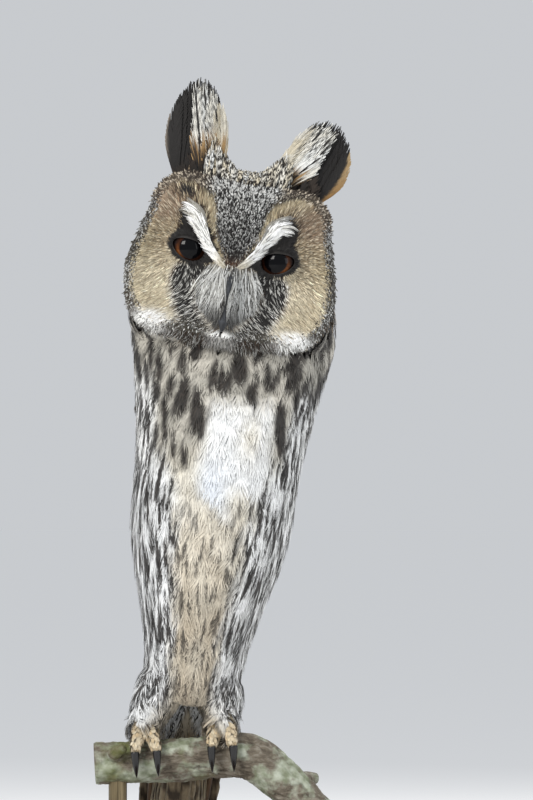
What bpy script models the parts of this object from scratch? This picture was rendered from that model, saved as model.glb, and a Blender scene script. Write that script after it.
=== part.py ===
"""A long-eared owl, life size, drawn up slim on a short drooping limb that a plain display stand holds.

Sizes are in millimetres, and MM turns them into Blender's metres. The owl faces -Y, and its own left is +X.
Two frames lean with the bird. The body frame has its origin between the feet, on top of the limb, with z up
the leaning body. The head frame (u to the owl's left, v up, w forward) has its origin between the eyes.
The trunk of the bird is one hull, a stack of ellipses. Neck, torso, wings and tail are all laid out on it by
an angle (0 at the breast, 180 degrees at the back), a height and an offset from its surface.
"""

import math

import bmesh
import bpy
import numpy as np
from mathutils import Matrix

MM = 0.001
GAP = 0.35

# Colours
BUFF = (0.42, 0.29, 0.16)
PALE = (0.62, 0.56, 0.46)
BROWN = (0.16, 0.11, 0.07)
BLACK = (0.02, 0.018, 0.016)
HORN = (0.06, 0.06, 0.065)
IRIS = (0.12, 0.04, 0.01)
BARK = (0.3, 0.31, 0.27)
WOOD = (0.2, 0.12, 0.07)
METAL = (0.1, 0.1, 0.1)

# Feathers: thickness at the root, and outlines as share of the length and share of the half width
VANE_THICK = 0.65
BLADE = [(0, 0.55), (0.35, 0.9), (0.7, 1.0), (0.9, 0.8), (1, 0.3)]
TAIL_BLADE = [(0, 0.7), (0.4, 0.95), (0.8, 1.0), (0.93, 0.9), (1, 0.45)]
EAR_BLADE = [(0, 0.5), (0.4, 0.95), (0.75, 1), (0.92, 0.8), (1, 0.3)]
RUFF_BLADE = [(0, 0.8), (0.5, 1.0), (0.85, 0.75), (1, 0.4)]
LOCK = [(0, 0.6), (0.3, 1.0), (0.65, 0.8), (1, 0.14)]

# Posture
LEAN = math.radians(6.9)
FEET = (-8.7, 0.0, 107.4)
HEAD_ROLL = math.radians(9.5)
EYES_SHIFT = -3.7
EYES_HEIGHT = 209.5

# Hull: height, half width, front y, back y
HULL = [
    (-90, 22.0, 19.0, 32.0),
    (-45, 22.5, 17.0, 33.5),
    (0, 21.5, 6.0, 35.0),
    (20, 20.9, -17.0, 36.0),
    (40, 22.8, -25.0, 37.5),
    (61, 28.0, -32.0, 39.0),
    (83, 33.8, -37.0, 41.0),
    (102, 36.0, -39.5, 42.0),
    (121, 37.4, -40.0, 42.0),
    (145, 40.5, -36.0, 39.5),
    (164, 43.8, -29.0, 36.0),
    (178, 46.4, -17.0, 35.5),
    (190, 45.2, -10.0, 35.5),
    (203, 41.0, -4.0, 35.0),
    (216, 34.0, -1.0, 31.5),
    (230, 24.0, 3.0, 24.0),
]
COLLAR_TOP = 230.0
TORSO_BOTTOM = 17.0
NECK_BOTTOM = 146.0
HEAD_BOTTOM = 164.0
TORSO_HEIGHTS = np.linspace(TORSO_BOTTOM, NECK_BOTTOM - GAP, 13)
AROUND = 30

# Head: the right half of the disc's outline, bottom to top, as u and v
DISC_CENTRE = -2.0
DISC_RIM = [
    (0, -37.0),
    (20, -36.5),
    (35, -34.0),
    (43.7, -23.0),
    (45.8, -11.5),
    (42.6, 4.8),
    (40.2, 14.0),
    (36.2, 24.0),
    (28, 30.0),
    (14, 30.0),
    (0, 28.5),
]
NARROW_SIDE = 0.07
# How far the plumage behind the disc stands out past its rim: angle round the disc, distance
BEHIND_RIM = [(-90, 12), (-50, 9), (-20, 4.6), (0, 1.4), (30, 0.4), (55, 1.5), (75, 5), (90, 6)]
FACE_DEPTH = 31.5
NAPE_DEPTH = -35.0
NAPE_DROP = 6.0
FACE_RINGS = (0.14, 0.30, 0.46, 0.62, 0.76, 0.88, 1.0)
BACK_RINGS = (0.14, 0.36, 0.60, 0.80, 0.94)
HEAD_AROUND = 40

EYES = {"left": (19.1, 0.0), "right": (-20.1, 0.0)}
EYE_RADIUS = 9.6
EYE_DEPTH = 19.8
# Lids: half width and half height of the bare eye and of the lids' outer edge, and how far they tilt
LID_OPENING = (7.2, 4.8)
LID_EDGE = (10.6, 9.4)
LID_TILT = math.radians(14)
LID_THICK = 1.0

# Bill: v, w, half width and half height along the ridge
BILL = [
    (-7.0, 31.0, 2.6, 2.4),
    (-13.0, 35.0, 4.4, 4.0),
    (-20.0, 37.2, 4.2, 4.4),
    (-27.0, 36.8, 2.8, 3.4),
    (-33.0, 33.4, 0.7, 1.0),
]
LOWER_BILL = [(-20.0, 31.0, 3.6, 1.9), (-26.0, 32.2, 2.9, 1.6), (-30.5, 31.4, 1.0, 0.8)]

NOSTRIL = (-13.5, 35.6, 1.5, 1.0)

# Feathers of the face, each as many a side: the ruff along the rim, the brows, and the bristles beside the bill
RUFF_COUNT = 10
RUFF_FROM = -84.0
RUFF_TO = 56.0
RUFF_HALF = 5.6
BROWS = [(3.0, -6.0, 13.5, 8.5), (7.0, 1.5, 18.0, 14.5), (10.5, 7.0, 22.5, 17.5)]
BRISTLES = [(2.4, -5.3, 66), (4.8, -4.3, 86), (7.2, -2.9, 108)]
BROW_HALF = 2.5
BRISTLE_HALF = 2.0
BRISTLE_LENGTH = 19.0

# Ear tufts: base u and v, tip u and v, half width of the fan at its root and near its tips
EARS = {"left": (22.0, 27.0, 33.8, 62.6), "right": (-21.6, 27.0, -26.9, 73.4)}
EAR_ROOT_HALF = 5.0
EAR_TIP_HALF = {"left": 11.0, "right": 9.4}
EAR_DEPTH = 8.0
EAR_FEATHERS = 7
EAR_VANE_HALF = 4.6
# The knot of short feathers at an ear's root: distance along the ear, radius
EAR_STALK = [(-2.0, 6.0), (5.0, 5.0), (11.0, 2.4)]

# Flank feathers: front angle, back angle, root height, length, count
FLANK = [(36, 60, 112, 46, 3), (38, 72, 76, 50, 3)]
FLANK_HALF = 5.4
FLANK_TILT = 0.2

# Wings
WING_SINK = 6.0
SHOULDER_FROM = 118.0
SHOULDER_RISE = 0.8
WING_GAP = 1.1
WING_TOP = 144.0
WING_TIP = -76.0
WING_FRONT = [(-76, 150), (-40, 134), (10, 116), (60, 106), (110, 102), (144, 108)]
WING_BACK = [(-76, 158), (-40, 168), (10, 175), (60, 175), (110, 160), (144, 122)]

# Wing feathers: count, root height, front and back angle at the roots, tip heights front and back, front and
# back angle at the tips, half width, how far the tips stand off, tilt
WING_TIERS = {
    "primaries": (5, 30, 118, 158, -74, -30, 150, 164, 4.8, 2.6, 0.20),
    "secondaries": (5, 76, 110, 155, 20, -10, 120, 156, 6.4, 3.4, 0.12),
    "great_coverts": (4, 104, 110, 150, 54, 36, 113, 157, 7.6, 3.4, 0.10),
    "mid_coverts": (4, 128, 111, 136, 84, 70, 109, 154, 7.4, 3.2, 0.10),
}
SCAPULARS = (3, 138, 122, 164, 8.6, 4.2, 0.11)

# Tail
TAIL_TOP = 16.6
TAIL_CORE_END = -22.0
TAIL_TIP = -90.0
TAIL_SINK = 7.6
TAIL_PAIRS = 4
TAIL_HALF = 4.5
# Angles from the middle of the back
TAIL_CORE_SPREAD = 68.0
TAIL_CORE_THICK = 2.6
TAIL_ROOT_SPREAD = 62.0
TAIL_TIP_SPREAD = 70.0

# Legs, toes and claws
FOOT_X = {"left": 7.5, "right": -25.0}
LEG_TOP_X = 10.6
LEG_RADIUS = 9.3
TOE_RADIUS = 4.2
TOE_REACH = 72.0
CLAW_REACH = 50.0
CLAW_RADIUS = 1.9
CLAW_SIDES = 5

# Toes: 1 to the front and -1 to the back, and how far to the outer side
TOES = {"inner_front": (1, -4.5), "outer_front": (1, 5.0), "inner_back": (-1, -3.8), "outer_back": (-1, 4.6)}

# Limb: x, y and z of the middle line, and radius
LIMB = [
    (-48.0, 2.0, 95.0, 10.2),
    (-25.0, 0.5, 96.3, 10.0),
    (-8.7, 0.0, 97.4, 10.0),
    (7.5, 0.0, 98.6, 10.2),
    (19.0, -0.5, 98.4, 10.8),
    (31.0, -1.5, 90.0, 10.0),
    (42.0, -2.5, 79.5, 9.6),
    (54.0, -4.0, 68.0, 9.2),
]

# Twig stubs: x, degrees round the limb from its top, length, radius
STUBS = [(-40.0, 65.0, 6.0, 2.6), (37.0, -50.0, 7.0, 3.0)]

# Stand
BASE_LENGTH = 150.0
BASE_WIDTH = 130.0
BASE_THICK = 12.0
BASE_EDGE = 2.0
ROD_RADIUS = 4.0
ROD_X = {"left": 34.0, "right": -38.0}
SOCKET = 6.0


def through(stations, at):
    """Reads a smooth curve through rows of (place, values...) at the given places."""
    rows = np.array(stations, float)
    knots = rows[:, 0]
    values = rows[:, 1:]
    slopes = np.gradient(values, knots, axis=0)
    at = np.clip(np.asarray(at, float), knots[0], knots[-1])
    low = np.clip(np.searchsorted(knots, at, side="right") - 1, 0, len(knots) - 2)
    span = (knots[low + 1] - knots[low])[..., None]
    t = (at - knots[low])[..., None] / span
    start = (2 * t**3 - 3 * t**2 + 1) * values[low] + (t**3 - 2 * t**2 + t) * span * slopes[low]
    end = (3 * t**2 - 2 * t**3) * values[low + 1] + (t**3 - t**2) * span * slopes[low + 1]
    return start + end


def ramp(low, high, at):
    """Rises smoothly from 0 at low to 1 at high."""
    t = np.clip((np.asarray(at, float) - low) / (high - low), 0, 1)
    return t * t * (3 - 2 * t)


def hill(u, v, centre_u, centre_v, wide_u, wide_v):
    return np.exp(-(((u - centre_u) / wide_u) ** 2) - ((v - centre_v) / wide_v) ** 2)


def from_body(points):
    """World places of points given in the leaning body frame."""
    x, y, z = np.moveaxis(np.asarray(points, float), -1, 0)
    c = math.cos(LEAN)
    s = math.sin(LEAN)
    return np.stack([FEET[0] + x * c + z * s, FEET[1] + y, FEET[2] - x * s + z * c], axis=-1)


HEAD_ORIGIN = from_body((EYES_SHIFT, 0.0, EYES_HEIGHT))


def from_head(points):
    """World places of points given in the head frame."""
    u, v, w = np.moveaxis(np.asarray(points, float), -1, 0)
    c = math.cos(HEAD_ROLL)
    s = math.sin(HEAD_ROLL)
    return HEAD_ORIGIN + np.stack([u * c + v * s, -w, v * c - u * s], axis=-1)


def unit(vectors):
    return vectors / np.maximum(np.linalg.norm(vectors, axis=-1, keepdims=True), 1e-9)


# ---------------------------------------------------------------- meshes


def make(name, points, faces):
    """An object of the given faces, with its normals out."""
    mesh = bpy.data.meshes.new(name)
    mesh.from_pydata([tuple(p) for p in np.asarray(points, float) * MM], [], faces)
    mesh.validate()
    made = bmesh.new()
    made.from_mesh(mesh)
    bmesh.ops.recalc_face_normals(made, faces=made.faces)
    bmesh.ops.triangulate(made, faces=made.faces)
    made.to_mesh(mesh)
    made.free()
    obj = bpy.data.objects.new(name, mesh)
    bpy.context.scene.collection.objects.link(obj)
    return obj


def loft(name, rings, start=None, end=None):
    """A closed body through rings of points, each end closed to a middle point, given or worked out."""
    rings = np.asarray(rings, float)
    count, around, _ = rings.shape
    start = rings[0].mean(axis=0) if start is None else start
    end = rings[-1].mean(axis=0) if end is None else end
    points = np.concatenate([rings.reshape(-1, 3), [start, end]])
    faces = []
    for i in range(count - 1):
        for j in range(around):
            k = (j + 1) % around
            a, b = i * around + j, i * around + k
            c, d = b + around, a + around
            faces += [(a, b, c), (a, c, d)]
    first = count * around
    last = (count - 1) * around
    for j in range(around):
        k = (j + 1) % around
        faces += [(k, j, first), (last + j, last + k, first + 1)]
    return make(name, points, faces)


def slab(name, top, bottom):
    """A closed body between two grids of points, split into triangles alike on both."""
    top = np.asarray(top, float)
    rows, columns, _ = top.shape
    count = rows * columns
    points = np.concatenate([top.reshape(-1, 3), np.asarray(bottom, float).reshape(-1, 3)])
    faces = []
    for i in range(rows - 1):
        for j in range(columns - 1):
            a = i * columns + j
            b, c, d = a + 1, a + columns + 1, a + columns
            faces += [(a, b, c), (a, c, d)]
            faces += [(a + count, c + count, b + count), (a + count, d + count, c + count)]
    edge = [(0, j) for j in range(columns - 1)]
    edge += [(i, columns - 1) for i in range(rows - 1)]
    edge += [(rows - 1, j) for j in range(columns - 1, 0, -1)]
    edge += [(i, 0) for i in range(rows - 1, 0, -1)]
    ids = [i * columns + j for i, j in edge]
    for a, b in zip(ids, ids[1:] + ids[:1]):
        faces += [(b, a, a + count), (b, a + count, b + count)]
    return make(name, points, faces)


def largest(obj):
    """Keeps only the object's largest closed surface."""
    made = bmesh.new()
    made.from_mesh(obj.data)
    left = set(made.faces)
    parts = []
    while left:
        queue = [left.pop()]
        part = []
        while queue:
            face = queue.pop()
            part.append(face)
            for edge in face.edges:
                near = [f for f in edge.link_faces if f in left]
                left.difference_update(near)
                queue += near
        parts.append(part)
    parts.sort(key=lambda part: sum(f.calc_area() for f in part))
    for part in parts[:-1]:
        bmesh.ops.delete(made, geom=part, context="FACES")
    loose = [v for v in made.verts if not v.link_faces]
    bmesh.ops.delete(made, geom=loose, context="VERTS")
    made.to_mesh(obj.data)
    made.free()


def combine(obj, others, operation, solver="EXACT"):
    """One Boolean of the object with a collection of closed meshes, applied, and the others removed."""
    group = bpy.data.collections.new(obj.name + "_others")
    bpy.context.scene.collection.children.link(group)
    for other in others:
        bpy.context.scene.collection.objects.unlink(other)
        group.objects.link(other)
    modifier = obj.modifiers.new("combine", "BOOLEAN")
    modifier.operation = operation
    modifier.solver = solver
    modifier.operand_type = "COLLECTION"
    modifier.collection = group
    bpy.context.view_layer.update()
    graph = bpy.context.evaluated_depsgraph_get()
    mesh = bpy.data.meshes.new_from_object(obj.evaluated_get(graph))
    obj.modifiers.clear()
    old = obj.data
    obj.data = mesh
    bpy.data.meshes.remove(old)
    for other in others:
        bpy.data.meshes.remove(other.data)
    bpy.data.collections.remove(group)
    largest(obj)
    return obj


def finish(obj, colour, roughness=0.8, metallic=0.0, sharp=35):
    """Gives a node its own material and its shading."""
    material = bpy.data.materials.new(obj.name)
    material.use_nodes = True
    shader = material.node_tree.nodes["Principled BSDF"]
    shader.inputs["Base Color"].default_value = (*colour, 1)
    shader.inputs["Roughness"].default_value = roughness
    shader.inputs["Metallic"].default_value = metallic
    material.diffuse_color = (*colour, 1)
    obj.data.materials.clear()
    obj.data.materials.append(material)
    obj.data.shade_smooth()
    obj.data.set_sharp_from_angle(angle=math.radians(sharp))
    return obj


# ---------------------------------------------------------------- hull


def hull(theta, z, offset=0.0):
    """World places on the hull at an angle in degrees and a height, moved out by the offset."""
    theta, z, offset = np.broadcast_arrays(np.asarray(theta, float), z, offset)
    width, front, back = np.moveaxis(through(HULL, z), -1, 0)
    depth = (back - front) / 2
    x = (width + offset) * np.sin(np.radians(theta))
    y = (front + back) / 2 - (depth + offset) * np.cos(np.radians(theta))
    return from_body(np.stack([x, y, z], axis=-1))


def wing_cover(theta, z):
    """1 where the folded wing lies on the body, 0 clear of it."""
    theta = np.abs(theta)
    front = through(WING_FRONT, z)[..., 0]
    back = through(WING_BACK, z)[..., 0]
    return ramp(front - 24, front - 12, theta) * (1 - ramp(back + 12, back + 22, theta))


def sink(z):
    """How deep a wing lies in the plumage of the body, shallow at the shoulder."""
    return WING_SINK * (1 - SHOULDER_RISE * ramp(SHOULDER_FROM, NECK_BOTTOM, z))


def hull_rings(heights, sunk=False):
    theta = np.linspace(-180, 180, AROUND, endpoint=False)
    rings = []
    for z in heights:
        level = np.full_like(theta, z)
        offset = -sink(level) * wing_cover(theta, level) if sunk else 0.0
        rings.append(hull(theta, level, offset))
    return rings


def wider(ring, times):
    """A ring made bigger about its own middle."""
    middle = ring.mean(axis=0)
    return middle + (ring - middle) * times


def flank_feathers():
    """Long loose feathers down each side of the breast, in tiers."""
    t = np.linspace(0, 1, 4)
    feathers = []
    for sign in (1, -1):
        for tier, (front, back, root, length, count) in enumerate(FLANK):
            for i in range(count):
                share = i / (count - 1)
                theta = front + (back - front) * share + 5 * (tier % 2) + 2 * t
                z = root - 9 * (i % 2) - length * t
                path = np.stack([sign * theta, z, -1.3 + 3.0 * np.sin(math.pi * 0.55 * t)], axis=-1)
                feathers.append(lay(hull, path, FLANK_HALF, -FLANK_TILT * sign, LOCK))
    return feathers


# ---------------------------------------------------------------- head


def rim(phi):
    """u and v of the disc's rim at an angle in degrees, 0 at the owl's left and 90 at the crown."""
    phi = (np.asarray(phi, float) + 90) % 360 - 90
    folded = np.where(phi > 90, 180 - phi, phi)
    outline = np.array(DISC_RIM, float)
    angles = np.degrees(np.arctan2(outline[:, 1] - DISC_CENTRE, outline[:, 0]))
    lengths = np.hypot(outline[:, 0], outline[:, 1] - DISC_CENTRE)
    radius = through(np.column_stack([angles, lengths]), folded)[..., 0]
    behind = through(BEHIND_RIM, folded)[..., 0]
    return np.radians(phi), radius, behind


def place_on_face(angle, radius):
    """u and v at an angle and a distance from the disc's middle, the owl's right side a little narrower."""
    u = radius * np.cos(angle)
    widest = max(row[0] for row in DISC_RIM)
    u = np.where(u < 0, u + NARROW_SIDE * widest * np.abs(u / widest) ** 3, u)
    return u, DISC_CENTRE + radius * np.sin(angle)


def face_depth(u, v):
    """w of the face, without its rim."""
    side = np.abs(u)
    above = np.maximum(v, 0)
    w = FACE_DEPTH - 0.0062 * u**2 - 0.0052 * (v - DISC_CENTRE) ** 2 - 0.0050 * above**2
    w += 3.0 * hill(u, v, 0, 13, 9, 13)
    w += 4.6 * np.exp(-((u / 7.5) ** 2)) * ramp(2, -12, v) * ramp(-33, -25, v)
    along = np.clip(-5 - v, -24, 0) / -24
    w += 3.0 * np.exp(-(((side - 2 - 19 * along) / 4.5) ** 2)) * ramp(-9, -4, v) * ramp(26, 18, v)
    w -= 3.0 * hill(side, v, 29, -8, 13, 16)
    for centre_u, centre_v in EYES.values():
        w -= 2.6 * hill(u, v, centre_u, centre_v, 8, 6)
    return w


def head_form(name, extra=0.0):
    """The head without its feathers, made bigger all round by the extra."""
    phi = np.linspace(0, 360, HEAD_AROUND, endpoint=False)
    angle, radius, behind = rim(phi)
    rings = []
    for share in FACE_RINGS:
        u, v = place_on_face(angle, radius * share + extra * share)
        ridge = 1.6 * ramp(0.78, 0.9, share) * ramp(1.04, 0.94, share)
        rings.append(np.stack([u, v, face_depth(u, v) + ridge + extra], axis=-1))
    edge = rings[-1][:, 2]
    for share in BACK_RINGS:
        size = (1 - share**2.6) ** (1 / 2.2)
        u, v = place_on_face(angle, (radius + behind * ramp(0, 0.3, share) + extra) * size)
        w = edge + share * (NAPE_DEPTH - extra - edge)
        rings.append(np.stack([u, v - NAPE_DROP * (1 - size), w], axis=-1))
    middle = from_head((0, DISC_CENTRE, face_depth(np.array(0.0), np.array(DISC_CENTRE)) + extra))
    nape = from_head((0, DISC_CENTRE - NAPE_DROP, NAPE_DEPTH - extra))
    return loft(name, from_head(np.array(rings)), middle, nape)


def eyeball(name, side, extra=0.0):
    """One eye, a ball that its lids leave partly bare."""
    u, v = EYES[side]
    mesh = bpy.data.meshes.new(name)
    made = bmesh.new()
    bmesh.ops.create_uvsphere(made, u_segments=14, v_segments=10, radius=(EYE_RADIUS + extra) * MM)
    bmesh.ops.triangulate(made, faces=made.faces)
    bmesh.ops.rotate(made, verts=made.verts, cent=(0, 0, 0), matrix=Matrix.Rotation(math.pi / 2, 3, "X"))
    bmesh.ops.translate(made, verts=made.verts, vec=from_head((u, v, EYE_DEPTH)) * MM)
    made.to_mesh(mesh)
    made.free()
    obj = bpy.data.objects.new(name, mesh)
    bpy.context.scene.collection.objects.link(obj)
    return obj


def horn(name, stations, extra=0.0, sides=10):
    """A tapering curved body in the head's middle plane, through rows of v, w, half width and half height."""
    rows = np.array(stations, float)
    along = np.linspace(0, 1, len(rows))
    steps = np.linspace(0, 1, 7)
    curve = through(np.column_stack([along, rows]), steps)
    tangent = unit(np.gradient(curve[:, :2], axis=0))
    turn = np.linspace(0, 2 * math.pi, sides, endpoint=False)
    rings = []
    for (v, w, wide, high), (tv, tw) in zip(curve, tangent):
        u = (wide + extra) * np.cos(turn)
        lift = (high + extra) * np.sin(turn)
        rings.append(np.stack([u, v - tw * lift, w + tv * lift], axis=-1))
    ends = []
    for ring, (tv, tw), sign in ((rings[0], tangent[0], -1), (rings[-1], tangent[-1], 1)):
        ends.append(from_head(ring.mean(axis=0) + np.array([0, tv, tw]) * sign * (0.4 + extra)))
    return loft(name, from_head(np.array(rings)), *ends)


def vane(centre, across, normal, half, thick):
    """One flat tapered feather along a line of centres."""
    reach = across * half[:, None]
    top = np.stack([centre - reach, centre + reach], axis=1)
    return slab("vane", top, top - (normal * thick[:, None])[:, None, :])


def lay(surface, path, half, tilt=0.0, shape=BLADE):
    """A vane that follows a surface: the path holds two surface places and an offset for each of its points."""
    path = np.asarray(path, float)
    centre = surface(path[:, 0], path[:, 1], path[:, 2])
    normal = unit(surface(path[:, 0], path[:, 1], path[:, 2] + 1) - centre)
    along = unit(np.gradient(centre, axis=0))
    across = unit(np.cross(normal, along))
    normal = np.cross(along, across)
    turned = across * math.cos(tilt) + normal * math.sin(tilt)
    normal = normal * math.cos(tilt) - across * math.sin(tilt)
    t = np.linspace(0, 1, len(path))
    return vane(centre, turned, normal, half * through(shape, t)[..., 0], VANE_THICK * (1 - 0.25 * t))


def face(u, v, lift=0.0):
    """World places on the face, moved forward by the lift."""
    return from_head(np.stack(np.broadcast_arrays(u, v, face_depth(u, v) + lift), axis=-1))


def hoop(sections):
    """A closed ring through sections of points."""
    sections = np.asarray(sections, float)
    count, around, _ = sections.shape
    faces = []
    for i in range(count):
        for j in range(around):
            a, b = i * around + j, i * around + (j + 1) % around
            k = (i + 1) % count
            c, d = k * around + (j + 1) % around, k * around + j
            faces += [(a, b, c), (a, c, d)]
    return make("hoop", sections.reshape(-1, 3), faces)


def nostril(sign):
    """A round pit in one side of the upper bill."""
    v, w, u, radius = NOSTRIL
    line = from_head(np.array([(sign * (u + step), v, w + 0.5 * step) for step in (0.0, 2.0, 5.0)]))
    return tube("nostril", line, [radius * 0.8, radius, radius * 1.3], 8)


def head(name):
    """The head with its disc, lids and face feathers, parted from the neck, hollowed for eyes and bill."""
    obj = head_form(name)
    pieces = [loft("collar", hull_rings(np.linspace(HEAD_BOTTOM - 2, COLLAR_TOP, 6)))]
    for side in EYES:
        pieces.append(lids(side))
        pieces += ruff(side) + face_feathers(side)
    combine(obj, pieces, "UNION")
    below = [wider(ring, 1.8) for ring in hull_rings((NECK_BOTTOM - 20, HEAD_BOTTOM))]
    cutters = [loft("cutter", below)]
    cutters += [eyeball("cutter", side, GAP) for side in EYES]
    cutters += [horn("cutter", stations, GAP) for stations in (BILL, LOWER_BILL)]
    return combine(obj, cutters, "DIFFERENCE")


def lids(side):
    """The lids of one eye, a rim that leaves an almond of the ball bare."""
    u0, v0 = EYES[side]
    outward = 1 if side == "left" else -1
    sections = []
    for angle in np.linspace(0, 2 * math.pi, 16, endpoint=False):
        places = []
        for wide, high in (LID_OPENING, LID_EDGE):
            across = wide * math.cos(angle)
            up = high * math.sin(angle) * (1 - 0.25 * math.cos(angle))
            u = across * math.cos(LID_TILT) - up * math.sin(LID_TILT)
            v = across * math.sin(LID_TILT) + up * math.cos(LID_TILT)
            places.append((u0 + outward * u, v0 + v, math.hypot(u, v)))
        (ui, vi, near), (uo, vo, _) = places
        ball = EYE_DEPTH + math.sqrt(EYE_RADIUS**2 - near**2)
        edge = float(face_depth(np.array(uo), np.array(vo)))
        mid_u, mid_v = (ui + uo) / 2, (vi + vo) / 2
        mid = max(float(face_depth(np.array(mid_u), np.array(mid_v))), ball - 0.8) + LID_THICK
        section = [(ui, vi, ball - 1.2), (ui, vi, ball + LID_THICK), (mid_u, mid_v, mid)]
        sections.append(section + [(uo, vo, edge + 0.3), (uo, vo, edge - 3.0)])
    return hoop(from_head(np.array(sections)))


def ruff(side):
    """Short curved feathers along the rim of the disc."""
    outward = 1 if side == "left" else -1
    feathers = []
    for i, degrees in enumerate(np.linspace(RUFF_FROM, RUFF_TO, RUFF_COUNT)):
        phi = degrees if outward > 0 else 180 - degrees
        angle, radius, _ = rim(phi)
        t = np.linspace(0, 1, 4)
        u, v = place_on_face(angle, radius * (0.80 + 0.23 * t) + 0.9 * (i % 2) * t)
        path = np.stack([u, v, -1.2 + 4.2 * t - 5.0 * t**2], axis=-1)
        feathers.append(lay(face, path, RUFF_HALF, 0.12 * outward, RUFF_BLADE))
    return feathers


def face_feathers(side):
    """The brow's locks, from the bill up over the eye, and the fan of bristles beside the bill."""
    outward = 1 if side == "left" else -1
    t = np.linspace(0, 1, 4)
    feathers = []
    for u0, v0, u1, v1 in BROWS:
        u = u0 + (u1 - u0) * t + 1.6 * np.sin(math.pi * t)
        v = v0 + (v1 - v0) * t
        lift = -1.4 + 3.6 * np.sin(math.pi * 0.62 * t)
        feathers.append(lay(face, np.stack([outward * u, v, lift], axis=-1), BROW_HALF, 0.25 * outward, LOCK))
    for u0, v0, turned in BRISTLES:
        way = math.radians(-180 + turned)
        reach = BRISTLE_LENGTH * (1.25 - 0.0052 * turned)
        bend = 0.22 * t**2
        u = u0 + reach * t * np.cos(way + 0.9 - bend)
        v = v0 + reach * t * np.sin(way + 0.35 + bend)
        lift = -1.2 + 3.0 * np.sin(math.pi * 0.6 * t)
        path = np.stack([outward * np.abs(u), v, lift], axis=-1)
        feathers.append(lay(face, path, BRISTLE_HALF, 0.2 * outward, LOCK))
    return feathers


def ear(name, side):
    """An ear tuft, a cupped fan of feathers cut to sit on the crown, the innermost ones in front."""
    u0, v0, u1, v1 = EARS[side]
    outward = 1 if side == "left" else -1
    root = np.array([u0, v0, EAR_DEPTH])
    tip = np.array([u1, v1, EAR_DEPTH - 3])
    along = unit(tip - root)
    sideways = unit(np.cross(along, np.array([0.0, 0.0, 1.0]))) * outward
    length = np.linalg.norm(tip - root)
    t = np.linspace(0, 1, 4)[:, None]
    feathers = []
    for i in range(EAR_FEATHERS):
        place = 2 * i / (EAR_FEATHERS - 1) - 1
        reach = length * (1 - 0.30 * place**2) * (1 - 0.05 * (i % 2))
        spread = EAR_ROOT_HALF * (1 - t) + EAR_TIP_HALF[side] * np.sin(math.pi / 2 * t) * 0.98
        layer = -1.15 * i + 3.0 + 1.6 * place**2 * t
        line = root + along * reach * t + sideways * place * spread + np.array([0.0, 0.0, 1.0]) * layer
        centre = from_head(line)
        heading = unit(np.gradient(centre, axis=0))
        facing = np.array([0.3 * outward * place, -1.0, 0.0])
        across = unit(np.cross(heading, facing))
        normal = np.cross(across, heading)
        half = EAR_VANE_HALF * through(EAR_BLADE, t[:, 0])[..., 0]
        feathers.append(vane(centre, across, normal, half, np.full(len(t), VANE_THICK)))
    stalk = np.array(EAR_STALK)
    stalk_line = from_head(root + along * stalk[:, :1] + np.array([0.0, 0.0, -1.0]))
    obj = tube(name, stalk_line, stalk[:, 1], 10)
    combine(obj, feathers, "UNION")
    return combine(obj, [head_form("cutter", GAP)], "DIFFERENCE")


# ---------------------------------------------------------------- wings and tail


def lift_of(z, share):
    """How thick a wing's core is at a height and a share of the way from its front edge to its back edge."""
    return 0.8 + 1.0 * (4 * share * (1 - share)) ** 0.6 * ramp(WING_TIP - 10, 40, z) * ramp(165, 120, z)


def wing_surface(sign):
    """The outside of a wing's core as a function of an angle, a height and an offset."""

    def surface(theta, z, offset=0.0):
        front = through(WING_FRONT, z)[..., 0]
        back = through(WING_BACK, z)[..., 0]
        share = np.clip((theta - front) / (back - front), 0, 1)
        return hull(sign * theta, z, WING_GAP - sink(z) + lift_of(z, share) + offset)

    return surface


def wing_core(name, sign):
    """The body of a folded wing, laid on the side of the bird."""
    z = np.concatenate([[WING_TOP], TORSO_HEIGHTS[-2::-1], [0.0, -20.0]])
    front = through(WING_FRONT, z)[..., 0]
    back = through(WING_BACK, z)[..., 0]
    share = np.linspace(0, 1, 5)
    theta = front[:, None] + (back - front)[:, None] * share
    level = np.broadcast_to(z[:, None], theta.shape)
    inner = hull(sign * theta, level, WING_GAP - sink(level))
    return slab(name, wing_surface(sign)(theta, level), inner)


def wing_feather(surface, sign, theta, z, stand, half, tilt):
    """One feather of a wing, its root no deeper than the wing's core."""
    front = through(WING_FRONT, z)[..., 0]
    back = through(WING_BACK, z)[..., 0]
    share = np.clip((theta - front) / (back - front), 0, 1)
    t = np.linspace(0, 1, len(z))
    edge = math.sin(tilt) * half * through(BLADE, t)[..., 0]
    rise = through([(0, -0.6), (0.33, 2.0), (0.67, 0.8 + 0.6 * stand), (1, stand)], t)[..., 0]
    path = np.stack([theta, z, np.maximum(rise, 0.75 + edge - lift_of(z, share))], axis=-1)
    return lay(surface, path, half, -tilt * sign)


def wing(name, side):
    """A folded wing: tiers of feathers that overlap like tiles, each tier's tips over the next tier's roots."""
    sign = 1 if side == "left" else -1
    surface = wing_surface(sign)
    t = np.linspace(0, 1, 4)
    feathers = []
    for tier in WING_TIERS.values():
        count, root, front, back, tip_front, tip_back, end_front, end_back, half, stand, tilt = tier
        for i in range(count):
            share = i / (count - 1)
            theta = front + (back - front) * share
            end = end_front + (end_back - end_front) * share
            z = root + (tip_front + (tip_back - tip_front) * share - root) * t
            feathers.append(wing_feather(surface, sign, theta + (end - theta) * t, z, stand, half, tilt))
    count, root, front, back, half, stand, tilt = SCAPULARS
    for i in range(count):
        share = i / (count - 1)
        z = root - (24 + 44 * share) * t
        theta = front + (back - front) * (share * 0.45 + 0.55 * t * (0.5 + 0.5 * share))
        feathers.append(wing_feather(surface, sign, theta, z, stand, half, tilt))
    return combine(wing_core(name, sign), feathers, "UNION")


def tail_surface(theta, z, offset=0.0):
    return hull(theta, z, offset - TAIL_SINK)


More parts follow.
